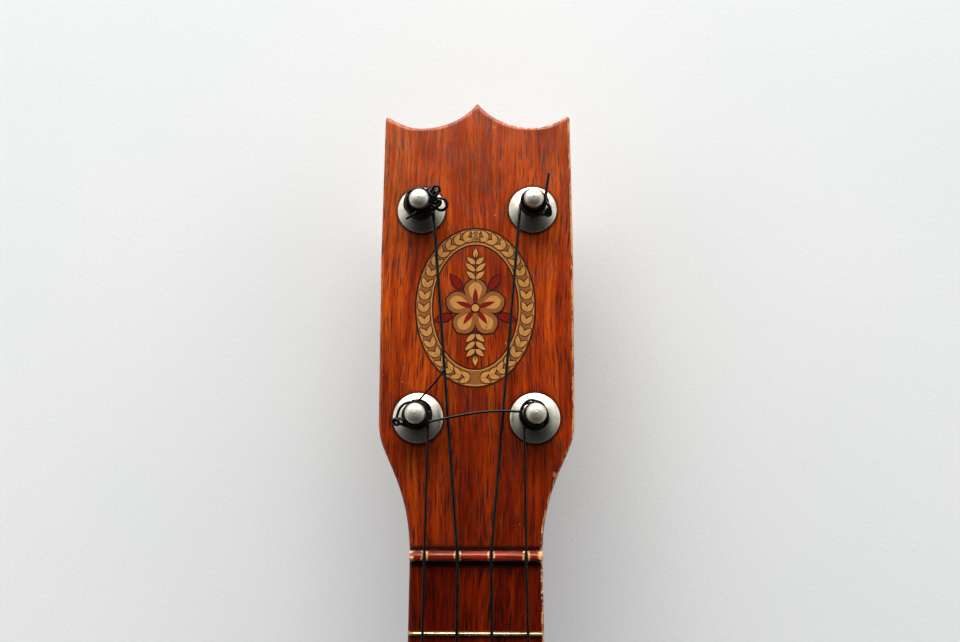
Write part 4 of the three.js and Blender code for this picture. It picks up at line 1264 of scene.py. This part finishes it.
def make_windings():
    """The turns on each post, with the knots, loops and ends that the player left."""
    thick, thin = 0.43, 0.38
    wound = {}
    # c: two layers, a loose ring, a tangle of loops on the inner side and an end that crosses in front.
    tangle = through([
        (3.2, -0.9, 7.0), (4.1, 0.6, 7.6), (3.9, 2.2, 8.2), (3.8, 3.3, 8.8), (4.5, 4.2, 9.0),
        (5.5, 3.9, 9.0), (5.8, 2.9, 8.6), (5.0, 2.2, 8.3), (4.6, 1.2, 8.0), (5.3, 0.5, 8.3),
        (6.5, 0.6, 8.3), (7.7, 0.0, 8.0), (8.0, -1.3, 7.7), (7.2, -2.4, 7.4), (6.0, -2.6, 7.2),
        (5.1, -2.1, 7.2), (4.9, -0.9, 7.8), (5.4, -0.1, 8.8), (6.2, -0.5, 9.0), (6.0, -1.4, 8.8),
        (5.2, -1.9, 8.6), (3.9, -2.5, 8.2), (2.0, -3.6, 7.6), (0.2, -3.9, 7.4),
    ])
    twist = through([
        (3.4, 2.6, 7.4), (4.5, 2.9, 8.8), (5.2, 1.8, 9.1), (4.6, 0.7, 8.8), (5.4, -0.4, 8.2),
        (4.4, -1.8, 7.9), (3.1, -2.4, 7.4),
    ])
    end = through([(2.6, -1.2, 8.0), (0.9, -2.6, 8.5), (-1.4, -4.0, 8.3), (-3.6, -5.3, 7.8)])
    loose = through([(2.2, 3.3, 7.8), (3.8, 1.3, 8.2), (3.9, -0.7, 7.9), (2.2, -3.0, 7.2), (-1.2, -3.9,
        6.6), (-3.9, -2.0, 6.2),
                     (-4.5, 0.2, 6.5), (-3.4, 2.7, 7.3), (-1.2, 3.9, 7.7), (1.0, 3.9, 7.8)])
    lump = twisted(
        through([(1.8, 3.8, 7.2), (3.5, 3.2, 7.8), (4.6, 1.9, 8.1), (4.9, 0.2, 8.0), (4.4, -1.5, 7.6),
            (2.8, -3.3, 7.0)], 0.12), 0.62, 9
    )
    wound["c"] = [
        coil([(2.7, 5.2), (3.45, 4.6), (4.1, 3.4)], thick, 3.75, 7.6, 200), tube(tangle, thick, 10),
            tube(twist, thick, 10),
        tube(end, 0.36, 10), tube(loose, 0.4, 10), tube(lump, thick, 8),
    ]
    # e: two layers, a hard little knot on the outer side and an end that stands straight up beside the cap.
    knot = through([
        (2.9, 0.9, 7.2), (3.9, -0.4, 7.6), (4.4, -1.6, 7.9), (4.9, -2.9, 7.4), (4.9, -3.9, 6.8),
        (4.1, -4.2, 6.5), (3.5, -3.4, 6.9), (4.2, -2.4, 7.7), (4.8, -1.7, 7.2), (4.6, -2.9, 6.4),
        (3.4, -3.6, 6.2), (1.9, -3.7, 6.6), (0.4, -4.0, 6.8),
    ])
    end = through([(2.4, -2.6, 7.0), (2.95, -1.6, 7.8), (3.3, -0.3, 8.2), (3.75, 3.2, 8.6), (4.5, 7.9, 9.0)])
    side = through([(3.6, 1.6, 7.0), (4.0, 0.3, 7.6), (4.2, -1.0, 7.2), (4.9, -2.2, 6.8), (4.2, -3.2, 7.2)])
    wound["e"] = [coil([(2.66, 5.4), (3.45, 4.8)], thick, 3.75, 7.9, -30, -1), tube(knot, thick, 10),
        tube(end, 0.42, 10),
                  tube(side, thick, 10)]
    # g: open turns, a loop and a knot on the outer side, and a thin end that leans out over the headstock.
    loop = through([
        (-0.8, 3.7, 6.9), (-2.9, 3.2, 7.0), (-4.4, 1.9, 6.9), (-5.1, 0.2, 6.6), (-5.3, -1.2, 6.5),
        (-4.6, -2.2, 6.4), (-3.0, -2.9, 6.0), (-0.8, -3.6, 5.6), (1.6, -3.4, 5.4), (3.4, -2.0, 5.5),
        (4.1, 0.2, 5.9), (3.4, 2.6, 6.6), (1.4, 3.9, 7.2), (-0.8, 3.9, 7.2),
    ])
    knot = through([
        (-3.4, -2.3, 6.0), (-4.6, -2.5, 6.4), (-5.9, -2.4, 6.5), (-6.4, -1.7, 6.7), (-5.8, -1.1, 6.9),
        (-4.9, -1.5, 7.0), (-4.7, -2.4, 6.8), (-5.4, -2.8, 6.4), (-6.2, -2.2, 6.2), (-5.4, -1.3, 6.3),
        (-4.3, -1.0, 6.7), (-3.4, -1.6, 6.8),
    ])
    end = through([
        (-2.6, 2.4, 6.9), (-0.9, 3.3, 7.4), (0.9, 4.1, 7.7), (3.1, 6.4, 8.3), (5.5, 9.0, 8.9),
        (7.8, 12.1, 9.4),
    ])
    wound["g"] = [
        coil([(2.62, 4.3), (3.18, 3.2)], thin, 3.7, 7.2, 20), coil([(3.75, 1.4)], thin, 4.6, 6.6, -130),
        tube(loop, thin, 10), tube(knot, thin, 10), tube(end, 0.29, 8),
    ]
    # a: neat turns that bunch up towards the nut and on the inner side.
    bunch = through([
        (2.9, 0.4, 6.4), (2.0, 2.9, 6.8), (0.0, 3.9, 7.1), (-1.8, 4.0, 7.1), (-3.5, 2.6, 6.8),
        (-4.0, 0.6, 6.5), (-3.6, -1.6, 6.0), (-2.0, -3.4, 5.6), (0.4, -3.7, 5.6), (2.4, -2.8, 6.0),
        (3.3, -0.9, 6.5), (2.9, 1.0, 6.8),
    ])
    outer = through([
        (-0.6, 3.5, 6.2), (-2.9, 3.1, 6.0), (-4.1, 1.2, 5.8), (-4.1, -0.9, 5.4), (-2.8, -2.9, 4.9),
        (-0.4, -3.9, 4.7), (2.0, -3.2, 5.2), (3.4, -1.4, 5.9), (3.2, 0.6, 6.2),
    ])
    wound["a"] = [coil([(2.62, 4.6), (3.2, 2.6)], thin, 3.7, 7.6, 160, -1), tube(bunch, thin, 10),
        tube(outer, thin, 10)]
    for name, parts in wound.items():
        piece(f"string_turns_{name}", *joined(*parts), peg_place(name), STRING_BLACK, f"peg_{name}",
            [f"winding_{name}"],
              "nylon", sharp=60)


def make_bridging_end():
    """The loose end that runs from one lower peg's turns to the other's, over the middle strings."""
    path = through([
        (13.0, 38.4, 6.3), (12.2, 37.4, 6.6), (8.6, 37.5, 6.7), (4.5, 37.4, 6.75), (1.1, 37.1, 6.75),
        (-2.7, 36.55, 6.7), (-6.5, 35.85, 6.65), (-10.2, 35.1, 6.6), (-13.2, 34.4, 6.5), (-14.6, 33.3, 6.2),
    ])
    piece("string_end_across", *tube(path, 0.34, 10), HEAD, STRING_BLACK, "instrument", [], "nylon", sharp=60)


# ------------------------------------------------------------------ emblem
def leaf(length, width, steps=9):
    """A pointed leaf along +Y from the origin."""
    t = np.linspace(0, 1, steps)
    half = 0.5 * width * np.sin(math.pi * t**0.8) ** 0.9
    right = np.stack([half, t * length], 1)
    left = np.stack([-half[-2:0:-1], (t * length)[-2:0:-1]], 1)
    return np.vstack([right, left])


def petal(length, width, steps=12):
    """A broad round petal along +Y."""
    t = np.linspace(0, 1, steps)
    half = 0.5 * width * np.sin(math.pi * t**1.5) ** 0.62
    return np.vstack([np.stack([half, t * length], 1), np.stack([-half[-2:0:-1], (t * length)[-2:0:-1]], 1)])


def turned_by(loop, angle, by):
    c, s = math.cos(math.radians(angle)), math.sin(math.radians(angle))
    return loop @ np.array([[c, s], [-s, c]]) + np.asarray(by, float)


def thin_plate(loops, low, high):
    """A flat closed plate between two heights, with any holes."""
    parts = [fill_flat(loops, high, True), fill_flat(loops, low, False)]
    for loop in loops:
        n = len(loop)
        points = np.vstack([np.column_stack([loop, np.full(n, z)]) for z in (low, high)])
        parts.append((points, ring_faces([list(range(n)), list(range(n, 2 * n))], n)))
    return merged(joined(*parts), 1e-5)


def oval(a, b, centre, sides=96):
    t = np.linspace(0, 2 * math.pi, sides + 1)[:-1]
    return np.stack([centre[0] + a * np.cos(t), centre[1] + b * np.sin(t)], 1)


def sprout(layers, spot, heading, leaves, width):
    """Leaves that share a foot, each with a dark edge. leaves is (lean, length) pairs."""
    for lean, length in leaves:
        edge = turned_by(leaf(length + 0.5, width + 0.6), heading + lean, spot)
        layers["dark"].append(thin_plate([edge], 0.02, 0.056))
        blade = turned_by(leaf(length, width) + (0, 0.2), heading + lean, spot)
        layers["gold"].append(thin_plate([blade], 0.024, 0.068))


def make_emblem():
    """A printed medallion of no maker: an oval band with a garland of leaves, and a flower in the middle."""
    centre = (-0.4, 69.0)
    layers = {"dark": [], "tan": [], "gold": [], "red": []}
    layers["dark"].append(thin_plate([oval(17.6, 24.0, centre), oval(12.2, 18.4, centre)], 0.012, 0.03))
    layers["tan"].append(thin_plate([oval(17.15, 23.55, centre), oval(12.65, 18.85, centre)], 0.014, 0.045))
    for loop in (oval(17.0, 23.4, centre), oval(12.95, 19.15, centre)):
        layers["gold"].append(thin_plate([loop, inset(loop, 0.32)], 0.016, 0.052))
    for k in range(36):
        t = math.radians(-90 + (k + 0.5) * 10)
        side = 1 if math.cos(t) > 0 else -1
        spot = np.array(centre) + (14.95 * math.cos(t), 21.25 * math.sin(t))
        heading = math.degrees(math.atan2(21.25 * math.cos(t), -14.95 * math.sin(t)))
        heading += 0 if side > 0 else 180
        sprout(layers, spot, heading - 90, ((27, 3.3), (-29, 3.2)), 1.5)
    for up in (1, -1):
        stem = [(centre[0], centre[1] + up * y, 0.03) for y in (7.5, 11, 15.6)]
        layers["dark"].append(tube(stem, 0.16, 6))
        for y, length in ((8.2, 3.4), (10.4, 3.8), (12.6, 3.2)):
            heading = 0 if up > 0 else 180
            sprout(layers, (centre[0], centre[1] + up * y), heading, ((48, length), (-48, length)), 1.5)
        sprout(layers, (centre[0], centre[1] + up * 14.4), 0 if up > 0 else 180, ((0, 3.0),), 1.5)
    heart = (centre[0], centre[1] - 0.5)
    for k in range(5):
        angle = 72 * k
        for layer, shape, low, high in (
            ("dark", petal(9.3, 7.3), 0.012, 0.05),
            ("tan", petal(8.8, 6.5) + (0, 0.1), 0.014, 0.062),
            ("gold", petal(6.2, 3.9) + (0, 1.6), 0.016, 0.074),
        ):
            plate = thin_plate([turned_by(shape, angle, heart)], low + 0.002 * k, high + 0.004 * k)
            layers[layer].append(plate)
        layers["red"].append(thin_plate([turned_by(leaf(5.2, 1.5) + (0, 0.8), angle, heart)], 0.018, 0.1))
    for k in range(5):
        angle = 72 * k + 36
        layers["dark"].append(thin_plate([turned_by(leaf(6.4, 3.0) + (0, 6.6), angle, heart)], 0.011, 0.036))
        layers["red"].append(thin_plate([turned_by(leaf(5.6, 2.2) + (0, 7.0), angle, heart)], 0.013, 0.048))
    layers["dark"].append(thin_plate([oval(1.5, 1.5, heart, 32)], 0.02, 0.108))
    layers["gold"].append(thin_plate([oval(1.1, 1.1, heart, 32)], 0.022, 0.116))
    finishes = {"dark": PRINT_DARK, "tan": PRINT_TAN, "gold": PRINT_GOLD, "red": PRINT_RED}
    for name, parts in layers.items():
        piece(f"emblem_{name}", *joined(*parts), HEAD, finishes[name], "instrument", [], "inlay", sharp=30)


# ------------------------------------------------------------------ what stays from the CAD model
def finish_cad_nodes():
    """The blocks, linings, braces and bridge plate inside the body keep their solids and get bare wood."""
    for node in frame["nodes"].values():
        if not node.hide_render:
            node.data.materials.clear()
            node.data.materials.append(BARE_WOOD)


# ------------------------------------------------------------------ stage
def make_stage():
    size = 4.0
    mesh = bpy.data.meshes.new("floor")
    corners = [(-size, -size, 0), (size, -size, 0), (size, size, 0), (-size, size, 0)]
    mesh.from_pydata([(x, y, z - 0.0002) for x, y, z in corners], [], [(0, 1, 2, 3)])
    mesh.materials.append(floor_cloth())
    floor = bpy.data.objects.new("floor", mesh)
    bpy.context.scene.collection.objects.link(floor)


# The room's brightness is the first of these times the second, plus the third. Each is an axis of the
# direction, where it starts and ends changing, and its values there.
SKY = [("Z", 0.84, 0.35, 0.05, 1.5), ("Y", -0.5, 0.25, 0.16, 1.0), ("Y", 0.68, 0.97, 0.0, 2.4)]


def make_light():
    """A bright window side beyond the head, a dim room behind the camera, and a soft lamp from the window."""
    world = bpy.data.worlds.new("room")
    bpy.context.scene.world = world
    world.use_nodes = True
    tree = world.node_tree
    background = tree.nodes["Background"]
    coordinates = tree.nodes.new("ShaderNodeTexCoord")
    split = tree.nodes.new("ShaderNodeSeparateXYZ")
    tree.links.new(coordinates.outputs["Generated"], split.inputs[0])
    # Dark straight above and behind the camera, bright to the sides, brightest low beyond the head.
    terms = []
    for axis, start, end, low, high in SKY:
        spread = tree.nodes.new("ShaderNodeMapRange")
        spread.interpolation_type = "SMOOTHSTEP"
        for socket, value in zip((1, 2, 3, 4), (start, end, low, high)):
            spread.inputs[socket].default_value = value
        tree.links.new(split.outputs[axis], spread.inputs[0])
        terms.append(spread.outputs[0])
    sky = tree.nodes.new("ShaderNodeMath")
    sky.operation = "MULTIPLY_ADD"
    for term, socket in zip(terms, sky.inputs):
        tree.links.new(term, socket)
    tree.links.new(sky.outputs[0], background.inputs["Strength"])
    background.inputs["Color"].default_value = (0.97, 0.985, 1.0, 1)
    lamp = bpy.data.lights.new("window", "AREA")
    lamp.shape = "RECTANGLE"
    lamp.size, lamp.size_y = 1.5, 0.8
    lamp.energy = 20.0
    lamp.color = (1.0, 0.985, 0.96)
    holder = bpy.data.objects.new("window", lamp)
    spot, aim = Vector((-0.1, 1.45, 0.72)), Vector((0, 0.2, 0.03))
    holder.location = spot
    holder.rotation_euler = (aim - spot).to_track_quat("-Z", "Y").to_euler()
    bpy.context.scene.collection.objects.link(holder)
    view = bpy.context.scene.view_settings
    view.view_transform = "Standard"
    view.look = "Medium High Contrast"


make_neck()
make_nut()
make_frets()
make_soundboard()
make_back()
make_rib("treble", 1)
make_rib("bass", -1)
make_bridge()
make_pegs()
make_strings()
make_windings()
make_bridging_end()
make_emblem()
finish_cad_nodes()
make_stage()
make_light()
